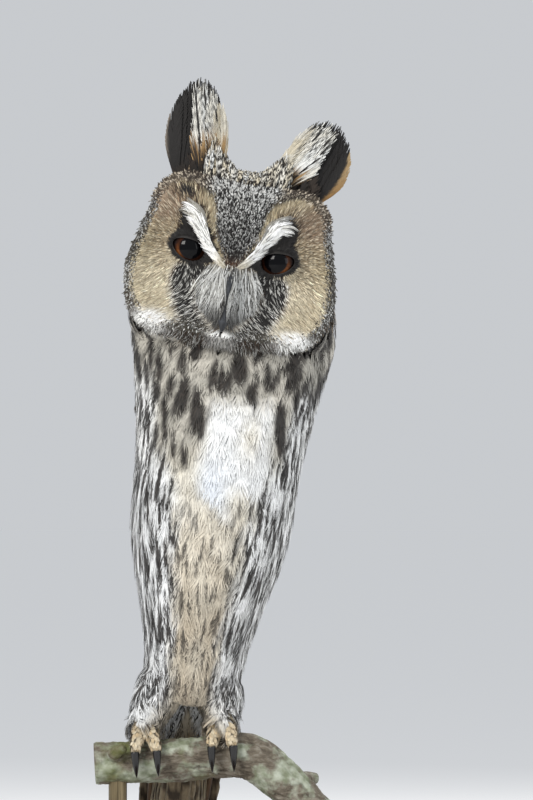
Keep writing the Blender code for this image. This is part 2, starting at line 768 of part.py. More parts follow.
def tail(name):
    """The closed tail, hanging behind the limb, its middle feathers outermost."""
    z = np.linspace(TAIL_TOP, TAIL_CORE_END, 4)
    theta, level = np.meshgrid(180 + TAIL_CORE_SPREAD * np.linspace(-1, 1, 9), z)
    core = slab(name, tail_surface(theta, level), tail_surface(theta, level, -TAIL_CORE_THICK))
    t = np.linspace(0, 1, 5)
    feathers = []
    for sign in (1, -1):
        for pair in range(TAIL_PAIRS):
            out = (pair + 0.5) / TAIL_PAIRS
            start = 180 - sign * out * TAIL_ROOT_SPREAD + 1.3
            end = 180 - sign * out * TAIL_TIP_SPREAD + 0.7
            tip = TAIL_TIP + 1.2 * pair
            layer = -1.0 - 0.25 * pair - (0.9 if sign < 0 and pair == 0 else 0.0)
            path = np.stack([start + (end - start) * t, 8 - pair + (tip - 8) * t, layer + 0 * t], axis=-1)
            feathers.append(lay(tail_surface, path, TAIL_HALF, 0.26 * sign, TAIL_BLADE))
    return combine(core, feathers, "UNION")


# ---------------------------------------------------------------- legs


def limb_at(x):
    """Middle line and radius of the limb at a world x."""
    rows = np.array(LIMB, float)
    return np.array([x, *through(np.column_stack([rows[:, 0], rows[:, 1:]]), x)])


def tube(name, centres, radii, sides=8):
    """A round body along a line of centres."""
    centres = np.asarray(centres, float)
    along = unit(np.gradient(centres, axis=0))
    normal = unit(np.cross(along, np.array([0.31, 0.9, 0.17])))
    other = np.cross(along, normal)
    turn = np.linspace(0, 2 * math.pi, sides, endpoint=False)[:, None]
    rings = [c + r * (np.cos(turn) * n + np.sin(turn) * o) for c, r, n, o in zip(centres, radii, normal, other)]
    start = centres[0] - along[0] * radii[0] * 0.5
    end = centres[-1] + along[-1] * radii[-1] * 0.5
    return loft(name, rings, start, end)


def round_limb(x, lift, degrees, slide=0.0):
    """Places round the limb: degrees from its top to the front, lifted off its bark and slid along it."""
    mid = limb_at(x)
    angle = np.radians(np.asarray(degrees, float))
    lift = np.broadcast_to(np.asarray(lift, float), angle.shape)
    slide = np.broadcast_to(np.asarray(slide, float), angle.shape)
    along = unit(limb_at(x + 1)[:3] - limb_at(x - 1)[:3])
    up = np.array([-along[2], 0, along[0]])
    front = np.array([0, -1, 0])
    out = np.cos(angle)[:, None] * up + np.sin(angle)[:, None] * front
    return mid[:3] + slide[:, None] * along + (mid[3] + lift)[:, None] * out


def toe_line(side, toe):
    """Middle line of one toe, and of the claw that ends it."""
    way, spread = TOES[toe]
    outward = 1 if side == "left" else -1
    t = np.linspace(0, 1, 4)
    claw = np.linspace(0, 1, 5)
    slide = outward * spread * (0.35 + 0.65 * t)
    toes = round_limb(FOOT_X[side], TOE_RADIUS + 0.3, way * (8 + (TOE_REACH - 8) * t), slide)
    lift = TOE_RADIUS * (1 - claw) + CLAW_RADIUS * 0.9
    claws = round_limb(FOOT_X[side], lift + 0.3, way * (TOE_REACH + CLAW_REACH * claw), slide[-1])
    return toes, claws


def claw(name, side, toe, extra=0.0):
    line = toe_line(side, toe)[1]
    radii = CLAW_RADIUS * (1 - 0.82 * np.linspace(0, 1, len(line)) ** 1.3) + extra
    return tube(name, line, radii, CLAW_SIDES)


def leg(name, side):
    """A feathered leg with its toes, which grip the limb."""
    outward = 1 if side == "left" else -1
    top = np.array([outward * LEG_TOP_X, 0.0, TORSO_BOTTOM - GAP])
    foot = round_limb(FOOT_X[side], [6.0], [0.0])[0]
    turn = np.linspace(0, 2 * math.pi, 14, endpoint=False)
    rings = []
    for t, size in ((0, 1.0), (0.35, 0.92), (0.7, 0.8), (1.0, 0.62)):
        ring = np.stack([np.cos(turn), 1.15 * np.sin(turn), 0 * turn], axis=-1) * LEG_RADIUS * size
        level = from_body(ring + top)
        rings.append(level + (foot - from_body(top)) * t)
    column = loft(name, rings)
    toes = [tube("toe", toe_line(side, toe)[0], np.linspace(1.05, 0.8, 4) * TOE_RADIUS, 7) for toe in TOES]
    combine(column, toes, "UNION")
    cutters = [claw("cutter", side, toe, GAP) for toe in TOES]
    return combine(column, cutters, "DIFFERENCE")


def limb(name):
    """The short length of limb that the owl grips, with two twig stubs, and a hole under it for each rod."""
    rows = np.array(LIMB, float)
    x = np.linspace(rows[0, 0], rows[-1, 0], 14)
    line = np.array([limb_at(value) for value in x])
    along = unit(np.gradient(line[:, :3], axis=0))
    side = np.array([0.0, 1.0, 0.0])
    up = unit(np.cross(along, side))
    turn = np.linspace(0, 2 * math.pi, 12, endpoint=False)[:, None]
    rings = []
    for i, (p, n) in enumerate(zip(line, up)):
        dent = 1 - 0.035 * (1 + np.sin(3 * turn + 0.6 * i)) - 0.03 * (1 + np.sin(2 * turn - 1.1 * i))
        rings.append(p[:3] + p[3] * dent * (np.cos(turn) * side + np.sin(turn) * n))
    obj = loft(name, rings)
    stubs = []
    for x, degrees, reach, radius in STUBS:
        lift = np.array([-6.0, 0.0, 0.5 * reach, reach])
        line = round_limb(x, lift, np.full(4, degrees), np.array([0, 1, 2.5, 5.0]))
        stubs.append(tube("stub", line, np.array([1.5, 1.15, 1.0, 0.8]) * radius, 9))
    combine(obj, stubs, "UNION")
    return combine(obj, [rod("cutter", side, GAP) for side in ROD_X], "DIFFERENCE")


# ---------------------------------------------------------------- stand


def rod(name, side, extra=0.0):
    """A rod from its hole in the base to its hole in the limb."""
    mid = limb_at(ROD_X[side])
    low = BASE_THICK - SOCKET - extra
    high = mid[2] - mid[3] * 0.5 + extra
    turn = np.linspace(0, 2 * math.pi, 14, endpoint=False)
    radius = ROD_RADIUS + extra
    ring = np.stack([ROD_X[side] + radius * np.cos(turn), mid[1] + radius * np.sin(turn), 0 * turn], axis=-1)
    return loft(name, [ring + (0, 0, low), ring + (0, 0, high)])


def base(name):
    """The flat base, its upper edge eased."""
    levels = ((0, 0), (BASE_THICK - BASE_EDGE, 0), (BASE_THICK, BASE_EDGE))
    rings = []
    for z, inset in levels:
        x = BASE_LENGTH / 2 - inset
        y = BASE_WIDTH / 2 - inset
        rings.append([(x, y, z), (-x, y, z), (-x, -y, z), (x, -y, z)])
    obj = loft(name, rings)
    return combine(obj, [rod("cutter", side, GAP) for side in ROD_X], "DIFFERENCE")


# ---------------------------------------------------------------- the owl


def clear_scene():
    for obj in list(bpy.data.objects):
        bpy.data.objects.remove(obj, do_unlink=True)


def build():
    clear_scene()
    finish(head("head"), BUFF)
    for side in EYES:
        finish(eyeball("eye_" + side, side), IRIS, 0.08)
        finish(ear("ear_tuft_" + side, side), BROWN)
    upper = horn("bill_upper", BILL)
    combine(upper, [nostril(sign) for sign in (1, -1)], "DIFFERENCE")
    finish(upper, HORN, 0.35)
    lower = horn("bill_lower", LOWER_BILL)
    combine(lower, [horn("cutter", BILL, GAP)], "DIFFERENCE")
    finish(lower, HORN, 0.4)
    finish(loft("neck", hull_rings(np.linspace(NECK_BOTTOM, HEAD_BOTTOM - GAP, 4))), PALE)
    torso = loft("torso", hull_rings(TORSO_HEIGHTS, sunk=True))
    finish(combine(torso, flank_feathers(), "UNION"), PALE)
    for side in ("left", "right"):
        finish(wing("wing_" + side, side), BROWN)
        finish(leg("leg_" + side, side), BUFF)
        for toe in TOES:
            finish(claw("claw_" + side + "_" + toe, side, toe), BLACK, 0.3)
        finish(rod("stand_rod_" + side, side), METAL, 0.35, 0.9)
    finish(tail("tail"), BROWN)
    finish(limb("perch"), BARK)
    finish(base("stand_base"), WOOD, 0.5, sharp=20)


build()
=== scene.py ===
"""The looks of a long-eared owl on its display stand: skin, plumage, eyes, bill, feet, limb and stand.

Places are worked out in millimetres from the same named sizes as the solids, and MM turns them into metres.
The body's frame leans with the bird, its z along the trunk. The head's frame has u to the owl's left, v up
and w forward. Skin is one closed mesh under the plumage. Plumage is made of thin strips: hairs on the face,
and elsewhere feathers of many barbs or firm vanes. Each point has its own colour, from the marking functions.
"""

import itertools
import math

import bpy
import numpy as np
from mathutils.bvhtree import BVHTree
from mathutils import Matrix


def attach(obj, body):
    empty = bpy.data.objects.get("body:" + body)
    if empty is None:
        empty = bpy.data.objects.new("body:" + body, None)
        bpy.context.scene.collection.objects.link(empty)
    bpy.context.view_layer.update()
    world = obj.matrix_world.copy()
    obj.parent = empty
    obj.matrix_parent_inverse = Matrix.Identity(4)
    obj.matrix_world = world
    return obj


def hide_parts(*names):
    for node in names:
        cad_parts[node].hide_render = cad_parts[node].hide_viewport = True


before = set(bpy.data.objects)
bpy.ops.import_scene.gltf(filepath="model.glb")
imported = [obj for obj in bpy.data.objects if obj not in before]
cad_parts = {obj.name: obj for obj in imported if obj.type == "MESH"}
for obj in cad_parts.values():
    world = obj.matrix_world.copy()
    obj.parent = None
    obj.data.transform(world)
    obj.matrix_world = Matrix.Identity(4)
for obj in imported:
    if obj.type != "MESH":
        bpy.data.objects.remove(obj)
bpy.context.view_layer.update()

MM = 0.001
rng = np.random.default_rng(11)

# ------------------------------------------------------------------ sizes, as in the solids

LEAN = math.radians(6.9)
FEET = (-8.7, 0.0, 107.4)
HEAD_ROLL = math.radians(9.5)
EYES_SHIFT = -3.7
EYES_HEIGHT = 209.5

# Which way is outward along x on each side of the bird
OUTSIDE = {"left": 1, "right": -1}

# Hull: height, half width, front y, back y
HULL = [
    (-90, 22.0, 19.0, 32.0),
    (-45, 22.5, 17.0, 33.5),
    (0, 21.5, 6.0, 35.0),
    (20, 20.9, -17.0, 36.0),
    (40, 22.8, -25.0, 37.5),
    (61, 28.0, -32.0, 39.0),
    (83, 33.8, -37.0, 41.0),
    (102, 36.0, -39.5, 42.0),
    (121, 37.4, -40.0, 42.0),
    (145, 40.5, -36.0, 39.5),
    (164, 43.8, -29.0, 36.0),
    (178, 46.4, -17.0, 35.5),
    (190, 45.2, -10.0, 35.5),
    (203, 41.0, -4.0, 35.0),
    (216, 34.0, -1.0, 31.5),
    (230, 24.0, 3.0, 24.0),
]
TORSO_BOTTOM = 17.0
COLLAR_TOP = 230.0

# Head: the right half of the disc's outline, bottom to top, as u and v
DISC_CENTRE = -2.0
DISC_RIM = [
    (0, -37.0),
    (20, -36.5),
    (35, -34.0),
    (43.7, -23.0),
    (45.8, -11.5),
    (42.6, 4.8),
    (40.2, 14.0),
    (36.2, 24.0),
    (28, 30.0),
    (14, 30.0),
    (0, 28.5),
]
DISC_WIDEST = 45.8
NARROW_SIDE = 0.07
BEHIND_RIM = [(-90, 12), (-50, 9), (-20, 4.6), (0, 1.4), (30, 0.4), (55, 1.5), (75, 5), (90, 6)]
FACE_DEPTH = 31.5
NAPE_DEPTH = -35.0
NAPE_DROP = 6.0

EYES = {"left": (19.1, 0.0), "right": (-20.1, 0.0)}
EYE_RADIUS = 9.6
EYE_DEPTH = 19.8
LID_OPENING = (7.2, 4.8)
LID_EDGE = (10.6, 9.4)
LID_TILT = math.radians(14)
# The gaze, outward and up from the eye's middle, and the radii of pupil and iris
GAZE = (-1.0, 0.3)
PUPIL = 4.9
IRIS = 6.8
# w of places where there is no eyeball or bill
FAR_BACK = -99.0

BILL = [
    (-7.0, 31.0, 2.6, 2.4),
    (-13.0, 35.0, 4.4, 4.0),
    (-20.0, 37.2, 4.2, 4.4),
    (-27.0, 36.8, 2.8, 3.4),
    (-33.0, 33.4, 0.7, 1.0),
]
LOWER_BILL = [(-20.0, 31.0, 3.6, 1.9), (-26.0, 32.2, 2.9, 1.6), (-30.5, 31.4, 1.0, 0.8)]
NOSTRIL = (-13.5, 35.6, 1.0)

EARS = {"left": (21.0, 29.5, 33.5, 63.5), "right": (-22.0, 27.0, -26.9, 73.4)}
EAR_DEPTH = 8.0

WING_SINK = 6.0
SHOULDER_FROM = 118.0
SHOULDER_RISE = 0.8
NECK_BOTTOM = 146.0
WING_GAP = 1.1
WING_TIP = -76.0
WING_FRONT = [(-76, 150), (-40, 134), (10, 116), (60, 106), (110, 102), (144, 108)]
WING_BACK = [(-76, 158), (-40, 168), (10, 175), (60, 175), (110, 160), (144, 122)]

TAIL_TIP = -90.0
TAIL_SINK = 7.6
TAIL_ROOT_SPREAD = 62.0
TAIL_TIP_SPREAD = 70.0

FOOT_X = {"left": 7.5, "right": -25.0}
LEG_TOP_X = 10.6
LEG_RADIUS = 9.3
TOE_RADIUS = 4.2
TOE_REACH = 72.0
CLAW_REACH = 50.0
CLAW_RADIUS = 1.9
TOES = {"inner_front": (1, -4.5), "outer_front": (1, 5.0), "inner_back": (-1, -3.8), "outer_back": (-1, 4.6)}

LIMB = [
    (-48.0, 2.0, 95.0, 10.2),
    (-25.0, 0.5, 96.3, 10.0),
    (-8.7, 0.0, 97.4, 10.0),
    (7.5, 0.0, 98.6, 10.2),
    (19.0, -0.5, 98.4, 10.8),
    (31.0, -1.5, 90.0, 10.0),
    (42.0, -2.5, 79.5, 9.6),
    (54.0, -4.0, 68.0, 9.2),
]
STUBS = [(-40.0, 65.0, 6.0, 2.6), (37.0, -50.0, 7.0, 3.0)]
BASE_THICK = 12.0
ROD_RADIUS = 4.0
ROD_X = {"left": 34.0, "right": -38.0}
# Profile of a rod's collar, as radius and height over the base
COLLAR = [
    (4.05, 0.0), (7.4, 0.0), (7.6, 0.5), (7.3, 1.3),
    (6.2, 1.9), (5.4, 3.0), (5.0, 4.0), (4.05, 4.2),
]
# How deep a rod stands in the base
SOCKET = 6.0

# How deep the skin lies under the outside of the plumage
FACE_COAT = 1.5
HEAD_COAT = 3.2
BODY_COAT = 4.5
LEG_COAT = 1.6
SKIN_VOXEL = 1.3

# How far round the body one degree is
MM_PER_DEGREE = 0.62


# ------------------------------------------------------------------ numbers


def through(stations, at):
    """Reads a smooth curve through rows of (place, values...) at the given places."""
    rows = np.array(stations, float)
    knots = rows[:, 0]
    values = rows[:, 1:]
    slopes = np.gradient(values, knots, axis=0)
    at = np.clip(np.asarray(at, float), knots[0], knots[-1])
    low = np.clip(np.searchsorted(knots, at, side="right") - 1, 0, len(knots) - 2)
    span = (knots[low + 1] - knots[low])[..., None]
    t = (at - knots[low])[..., None] / span
    start = (2 * t**3 - 3 * t**2 + 1) * values[low] + (t**3 - 2 * t**2 + t) * span * slopes[low]
    end = (3 * t**2 - 2 * t**3) * values[low + 1] + (t**3 - t**2) * span * slopes[low + 1]
    return start + end


def curve(stations, at):
    """Reads a smooth curve through rows of (place, value) at the given places."""
    return through(stations, at)[..., 0]


def ramp(low, high, at):
    """Rises smoothly from 0 at low to 1 at high."""
    t = np.clip((np.asarray(at, float) - low) / (high - low), 0, 1)
    return t * t * (3 - 2 * t)


def hills(u, v, *rows):
    """The sum of smooth hills, each given by its height, its middle and its widths."""
    return sum(
        high * np.exp(-(((u - middle_u) / wide_u) ** 2) - ((v - middle_v) / wide_v) ** 2)
        for high, middle_u, middle_v, wide_u, wide_v in rows
    )


def unit(vectors):
    """The vectors at a length of one."""
    return vectors / np.maximum(np.linalg.norm(vectors, axis=-1, keepdims=True), 1e-9)


def dot(a, b):
    """Dot products of vectors, kept as a last axis of one."""
    return (a * b).sum(axis=-1, keepdims=True)


def parts(points):
    """The coordinates of points, each as an array of its own."""
    return np.moveaxis(np.asarray(points, float), -1, 0)


def together(*coordinates):
    """Points from their coordinates, which are broadcast to one shape."""
    return np.stack(np.broadcast_arrays(*coordinates), axis=-1)


def turns(count):
    """Angles once round, in radians."""
    return np.linspace(0, 2 * math.pi, count, endpoint=False)


def between(ends, share):
    """Reads a straight run from one end to the other."""
    return ends[0] + (ends[1] - ends[0]) * share


def by_feather(values):
    """One value for each feather, set out for its sides, barbs and rows."""
    return values[:, None, None, None]


def spread(low, high, shape):
    """Random numbers, even between low and high."""
    return rng.uniform(low, high, shape)


def shuffled(*arrays):
    """The arrays, all put into the same random order."""
    order = rng.permutation(len(arrays[0]))
    return [array[order] for array in arrays]


def mix(a, b, share):
    """Blends two colours, or rows of them, by a share for each place, held between 0 and 1."""
    share = np.clip(np.asarray(share, float), 0, 1)[..., None]
    return a * (1 - share) + b * share


def lit(colour, shade):
    """Colours made lighter or darker, by the logarithm of how much, and held to what plumage can show."""
    return np.clip(colour * np.exp(shade)[..., None], 0.002, 0.92)


def tone(red, green, blue):
    """A colour given as a screen shows it, 0 to 255, as the linear one that a shader takes."""
    c = np.array([red, green, blue]) / 255
    return np.where(c <= 0.04045, c / 12.92, ((c + 0.055) / 1.055) ** 2.4)


# ------------------------------------------------------------------ frames


def from_body(points):
    """World places of points given in the leaning body frame."""
    x, y, z = parts(points)
    c = math.cos(LEAN)
    s = math.sin(LEAN)
    return together(FEET[0] + x * c + z * s, FEET[1] + y, FEET[2] - x * s + z * c)


def to_body(points):
    """Places in the body's frame of world places."""
    x, y, z = parts(points - np.array(FEET))
    c = math.cos(LEAN)
    s = math.sin(LEAN)
    return together(x * c - z * s, y, x * s + z * c)


HEAD_ORIGIN = from_body((EYES_SHIFT, 0.0, EYES_HEIGHT))


def from_head(points):
    """World places of points given in the head frame."""
    u, v, w = parts(points)
    c = math.cos(HEAD_ROLL)
    s = math.sin(HEAD_ROLL)
    return HEAD_ORIGIN + together(u * c + v * s, -w, v * c - u * s)


def to_head(points):
    """Places in the head's frame of world places."""
    x, y, z = parts(points - HEAD_ORIGIN)
    c = math.cos(HEAD_ROLL)
    s = math.sin(HEAD_ROLL)
    return together(x * c - z * s, x * s + z * c, -y)


def body_way(x, y, z):
    """A direction given in the body frame, in the world."""
    return from_body((x, y, z)) - from_body((0, 0, 0))


def head_way(u, v, w):
    """A direction given in the head frame, in the world."""
    return from_head((u, v, w)) - from_head((0, 0, 0))


# ------------------------------------------------------------------ shapes of the bird


def hull(theta, z, offset=0.0):
    """World places on the hull at an angle in degrees and a height, moved out by the offset."""
    theta, z, offset = np.broadcast_arrays(np.asarray(theta, float), z, offset)
    width, front, back = parts(through(HULL, z))
    depth = (back - front) / 2
    x = (width + offset) * np.sin(np.radians(theta))
    y = (front + back) / 2 - (depth + offset) * np.cos(np.radians(theta))
    return from_body(together(x, y, z))


def round_hull(points):
    """The angle round the hull, and the height, of world places."""
    x, y, z = parts(to_body(points))
    width, front, back = parts(through(HULL, z))
    theta = np.degrees(np.arctan2(x / width, -(y - (front + back) / 2) / ((back - front) / 2)))
    return theta, z


def rim(phi):
    """Radians, radius of the disc, and how far the plumage behind it stands out, at degrees round it."""
    phi = (np.asarray(phi, float) + 90) % 360 - 90
    folded = np.where(phi > 90, 180 - phi, phi)
    outline = np.array(DISC_RIM, float)
    angles = np.degrees(np.arctan2(outline[:, 1] - DISC_CENTRE, outline[:, 0]))
    lengths = np.hypot(outline[:, 0], outline[:, 1] - DISC_CENTRE)
    radius = curve(np.column_stack([angles, lengths]), folded)
    behind = curve(BEHIND_RIM, folded)
    return np.radians(phi), radius, behind


def place_on_face(angle, radius):
    """u and v at an angle and a distance from the disc's middle, the owl's right side a little narrower."""
    u = radius * np.cos(angle)
    narrow = NARROW_SIDE * DISC_WIDEST * np.abs(u / DISC_WIDEST) ** 3
    return np.where(u < 0, u + narrow, u), DISC_CENTRE + radius * np.sin(angle)


def disc_share(u, v):
    """How far out a place is in the disc: 0 in its middle, 1 at its rim."""
    phi = np.degrees(np.arctan2(v - DISC_CENTRE, np.where(u < 0, u * (1 + NARROW_SIDE), u)))
    return np.hypot(u, v - DISC_CENTRE) / rim(phi)[1]


def face_depth(u, v):
    """w of the face, without its rim."""
    side = np.abs(u)
    above = np.maximum(v, 0)
    w = FACE_DEPTH - 0.0062 * u**2 - 0.0052 * (v - DISC_CENTRE) ** 2 - 0.0050 * above**2
    w = w + hills(u, v, (3.0, 0, 13, 9, 13))
    w = w + 4.6 * np.exp(-((u / 7.5) ** 2)) * ramp(2, -12, v) * ramp(-33, -25, v)
    along = np.clip(-5 - v, -24, 0) / -24
    w = w + 3.0 * np.exp(-(((side - 2 - 19 * along) / 4.5) ** 2)) * ramp(-9, -4, v) * ramp(26, 18, v)
    w = w - hills(side, v, (3.0, 29, -8, 13, 16))
    for middle_u, middle_v in EYES.values():
        w = w - hills(u, v, (2.6, middle_u, middle_v, 8, 6))
    return w


def face_w(u, v):
    """w of the face with its raised rim."""
    share = disc_share(u, v)
    return face_depth(u, v) + 1.6 * ramp(0.78, 0.9, share) * ramp(1.04, 0.94, share)


def eyeball_w(u, v, more):
    """w of a ball a little larger than the eyes, at u and v."""
    most = np.full(np.broadcast(u, v).shape, FAR_BACK)
    for u0, v0 in EYES.values():
        inside = (EYE_RADIUS + more) ** 2 - (u - u0) ** 2 - (v - v0) ** 2
        ball = EYE_DEPTH + np.sqrt(np.maximum(inside, 0))
        most = np.where(inside > 0, np.maximum(most, ball), most)
    return most


def in_eye(u, v):
    """How far out from the nearer eye's middle a place is, as a share of the lids' bare opening."""
    least = np.full(np.shape(u), np.inf)
    for side, (u0, v0) in EYES.items():
        du = OUTSIDE[side] * (u - u0)
        dv = v - v0
        across = du * math.cos(LID_TILT) + dv * math.sin(LID_TILT)
        up = -du * math.sin(LID_TILT) + dv * math.cos(LID_TILT)
        least = np.minimum(least, np.hypot(across / LID_OPENING[0], up / LID_OPENING[1]))
    return least


def face(u, v, lift=0.0):
    """World places on the face, moved forward by the lift. Round the eyes it lies on the lids."""
    u, v = np.broadcast_arrays(np.asarray(u, float), v)
    around = in_eye(u, v)
    lid = np.where(around > 0.9, eyeball_w(u, v, 1.6 * ramp(2.0, 1.2, around)), FAR_BACK)
    return from_head(together(u, v, np.maximum(face_w(u, v), lid) + lift))


def face_normal(u, v):
    """Normals of the face at u and v."""
    step = 0.4
    du = face(u + step, v) - face(u - step, v)
    dv = face(u, v + step) - face(u, v - step)
    return unit(np.cross(du, dv))


# ------------------------------------------------------------------ meshes


def mesh_object(name, points, faces, smooth=True):
    """An object of points in millimetres and of faces that all have the same number of corners."""
    points = np.asarray(points, float).reshape(-1, 3) * MM
    faces = np.asarray(faces, np.int32)
    corners = faces.shape[1]
    mesh = bpy.data.meshes.new(name)
    mesh.vertices.add(len(points))
    mesh.vertices.foreach_set("co", points.astype(np.float32).ravel())
    mesh.loops.add(faces.size)
    mesh.loops.foreach_set("vertex_index", faces.ravel())
    mesh.polygons.add(len(faces))
    mesh.polygons.foreach_set("loop_start", np.arange(0, faces.size, corners, dtype=np.int32))
    mesh.polygons.foreach_set("use_smooth", np.full(len(faces), smooth))
    mesh.update(calc_edges=True)
    mesh.validate()
    obj = bpy.data.objects.new(name, mesh)
    bpy.context.scene.collection.objects.link(obj)
    return obj


def paint(obj, colours):
    """Gives each point of an object its colour."""
    layer = obj.data.attributes.new("Col", "FLOAT_COLOR", "POINT")
    rows = np.ones((len(obj.data.vertices), 4), np.float32)
    rows[:, :3] = np.asarray(colours, float).reshape(-1, 3)
    layer.data.foreach_set("color", rows.ravel())


def grid_faces(rows, columns, closed=False):
    """Quads of a grid of points, row by row, the last column joined to the first where it is closed."""
    i = np.arange(rows - 1)[:, None] * columns
    j = np.arange(columns if closed else columns - 1)[None, :]
    k = (j + 1) % columns
    return np.stack([i + j, i + k, i + columns + k, i + columns + j], axis=-1).reshape(-1, 4)


def capped(rings):
    """Points and triangles of a closed body through rings, each end closed to a middle point."""
    rings = np.asarray(rings, float)
    count, around, _ = rings.shape
    quads = grid_faces(count, around, closed=True)
    j = np.arange(around)
    k = (j + 1) % around
    middle = count * around
    last = middle - around
    ends = [together(k, j, middle), together(last + j, last + k, middle + 1)]
    faces = np.concatenate([quads[:, [0, 1, 2]], quads[:, [0, 2, 3]], *ends])
    points = np.concatenate([rings.reshape(-1, 3), rings[0].mean(0)[None], rings[-1].mean(0)[None]])
    return points, outward(points, faces)


def outward(points, faces):
    """The faces turned so that the closed body's normals point out."""
    a, b, c = points[faces[:, 0]], points[faces[:, 1]], points[faces[:, 2]]
    volume = (a * np.cross(b, c)).sum()
    return faces if volume > 0 else faces[:, ::-1]


def joined(bodies):
    """Several (points, faces) as one."""
    starts = np.cumsum([0] + [len(points) for points, _ in bodies])
    faces = [faces + start for (_, faces), start in zip(bodies, starts)]
    return np.concatenate([points for points, _ in bodies]), np.concatenate(faces)


def tube(centres, radii, sides=16):
    """Points and triangles of a round body along a line of centres."""
    centres = np.asarray(centres, float)
    along = unit(np.gradient(centres, axis=0))
    normal = unit(np.cross(along, np.array([0.31, 0.9, 0.17])))
    other = np.cross(along, normal)
    turn = turns(sides)[None, :, None]
    radii = np.asarray(radii, float)[:, None, None]
    rings = centres[:, None] + radii * (np.cos(turn) * normal[:, None] + np.sin(turn) * other[:, None])
    return capped(rings)


def baked(obj):
    """Applies an object's modifiers."""
    bpy.context.view_layer.update()
    graph = bpy.context.evaluated_depsgraph_get()
    mesh = bpy.data.meshes.new_from_object(obj.evaluated_get(graph))
    obj.modifiers.clear()
    obj.data = mesh
    return obj


def corners_of(obj):
    """Points in millimetres and triangles of an object's mesh."""
    mesh = obj.data
    points = np.empty(len(mesh.vertices) * 3, np.float32)
    mesh.vertices.foreach_get("co", points)
    mesh.calc_loop_triangles()
    faces = np.empty(len(mesh.loop_triangles) * 3, np.int32)
    mesh.loop_triangles.foreach_get("vertices", faces)
    return points.reshape(-1, 3).astype(float) / MM, faces.reshape(-1, 3)


class Surface:
    """A mesh that plumage lies on."""

    def __init__(self, points, faces):
        self.points = points
        self.faces = faces
        self.tree = BVHTree.FromPolygons(points.tolist(), faces.tolist())
        a, b, c = (points[faces[:, k]] for k in range(3))
        flat = np.cross(b - a, c - a)
        self.areas = np.linalg.norm(flat, axis=1) / 2
        normals = np.zeros_like(points)
        for k in range(3):
            np.add.at(normals, faces[:, k], flat)
        self.normals = unit(normals)

    def near(self, places):
        """The nearest places on the surface, and the smooth normals there."""
        flat = places.reshape(-1, 3)
        found = [self.tree.find_nearest(place) for place in flat.tolist()]
        where = np.array([row[0] for row in found])
        corners = self.faces[[row[2] for row in found]]
        a, b, c = (self.points[corners[:, k]] for k in range(3))
        whole = np.cross(b - a, c - a)
        size = np.maximum((whole * whole).sum(1), 1e-12)
        share_a = (np.cross(c - b, where - b) * whole).sum(1) / size
        share_b = (np.cross(a - c, where - c) * whole).sum(1) / size
        shares = np.stack([share_a, share_b, 1 - share_a - share_b], axis=-1)[..., None]
        normals = unit((self.normals[corners] * shares).sum(axis=1))
        return where.reshape(places.shape), normals.reshape(places.shape)

    def roots(self, keep, gap):
        """Random places on the surface where keep(places) holds, no two nearer than gap(places)."""
        per_area = 5.0
        least = float(np.min(gap(self.points)))
        count = int(self.areas.sum() / least**2 * per_area)
        picked = rng.choice(len(self.faces), count, p=self.areas / self.areas.sum())
        a, b = spread(0, 1, (2, count, 1))
        flip = a + b > 1
        a = np.where(flip, 1 - a, a)
        b = np.where(flip, 1 - b, b)
        corners = self.points[self.faces[picked]]
        places = corners[:, 0] * (1 - a - b) + corners[:, 1] * a + corners[:, 2] * b
        places = places[keep(places)]
        return apart(places, gap(places))


def apart(places, gaps):
    """Of places in random order, those that are no nearer than their gap to one kept before."""
    cell = float(np.min(gaps))
    reach = int(math.ceil(float(np.max(gaps)) / cell))
    steps = list(itertools.product(range(-reach, reach + 1), repeat=3))
    kept = {}
    chosen = []
    cells = np.floor(places / cell).astype(int).tolist()
    rows = places.tolist()
    squares = (gaps**2).tolist()
    for index, (i, j, k) in enumerate(cells):
        x, y, z = rows[index]
        limit = squares[index]
        clear = True
        for a, b, c in steps:
            for px, py, pz in kept.get((i + a, j + b, k + c), ()):
                if (px - x) ** 2 + (py - y) ** 2 + (pz - z) ** 2 < limit:
                    clear = False
                    break
            if not clear:
                break
        if clear:
            kept.setdefault((i, j, k), []).append((x, y, z))
            chosen.append(index)
    return places[chosen]


# ------------------------------------------------------------------ materials


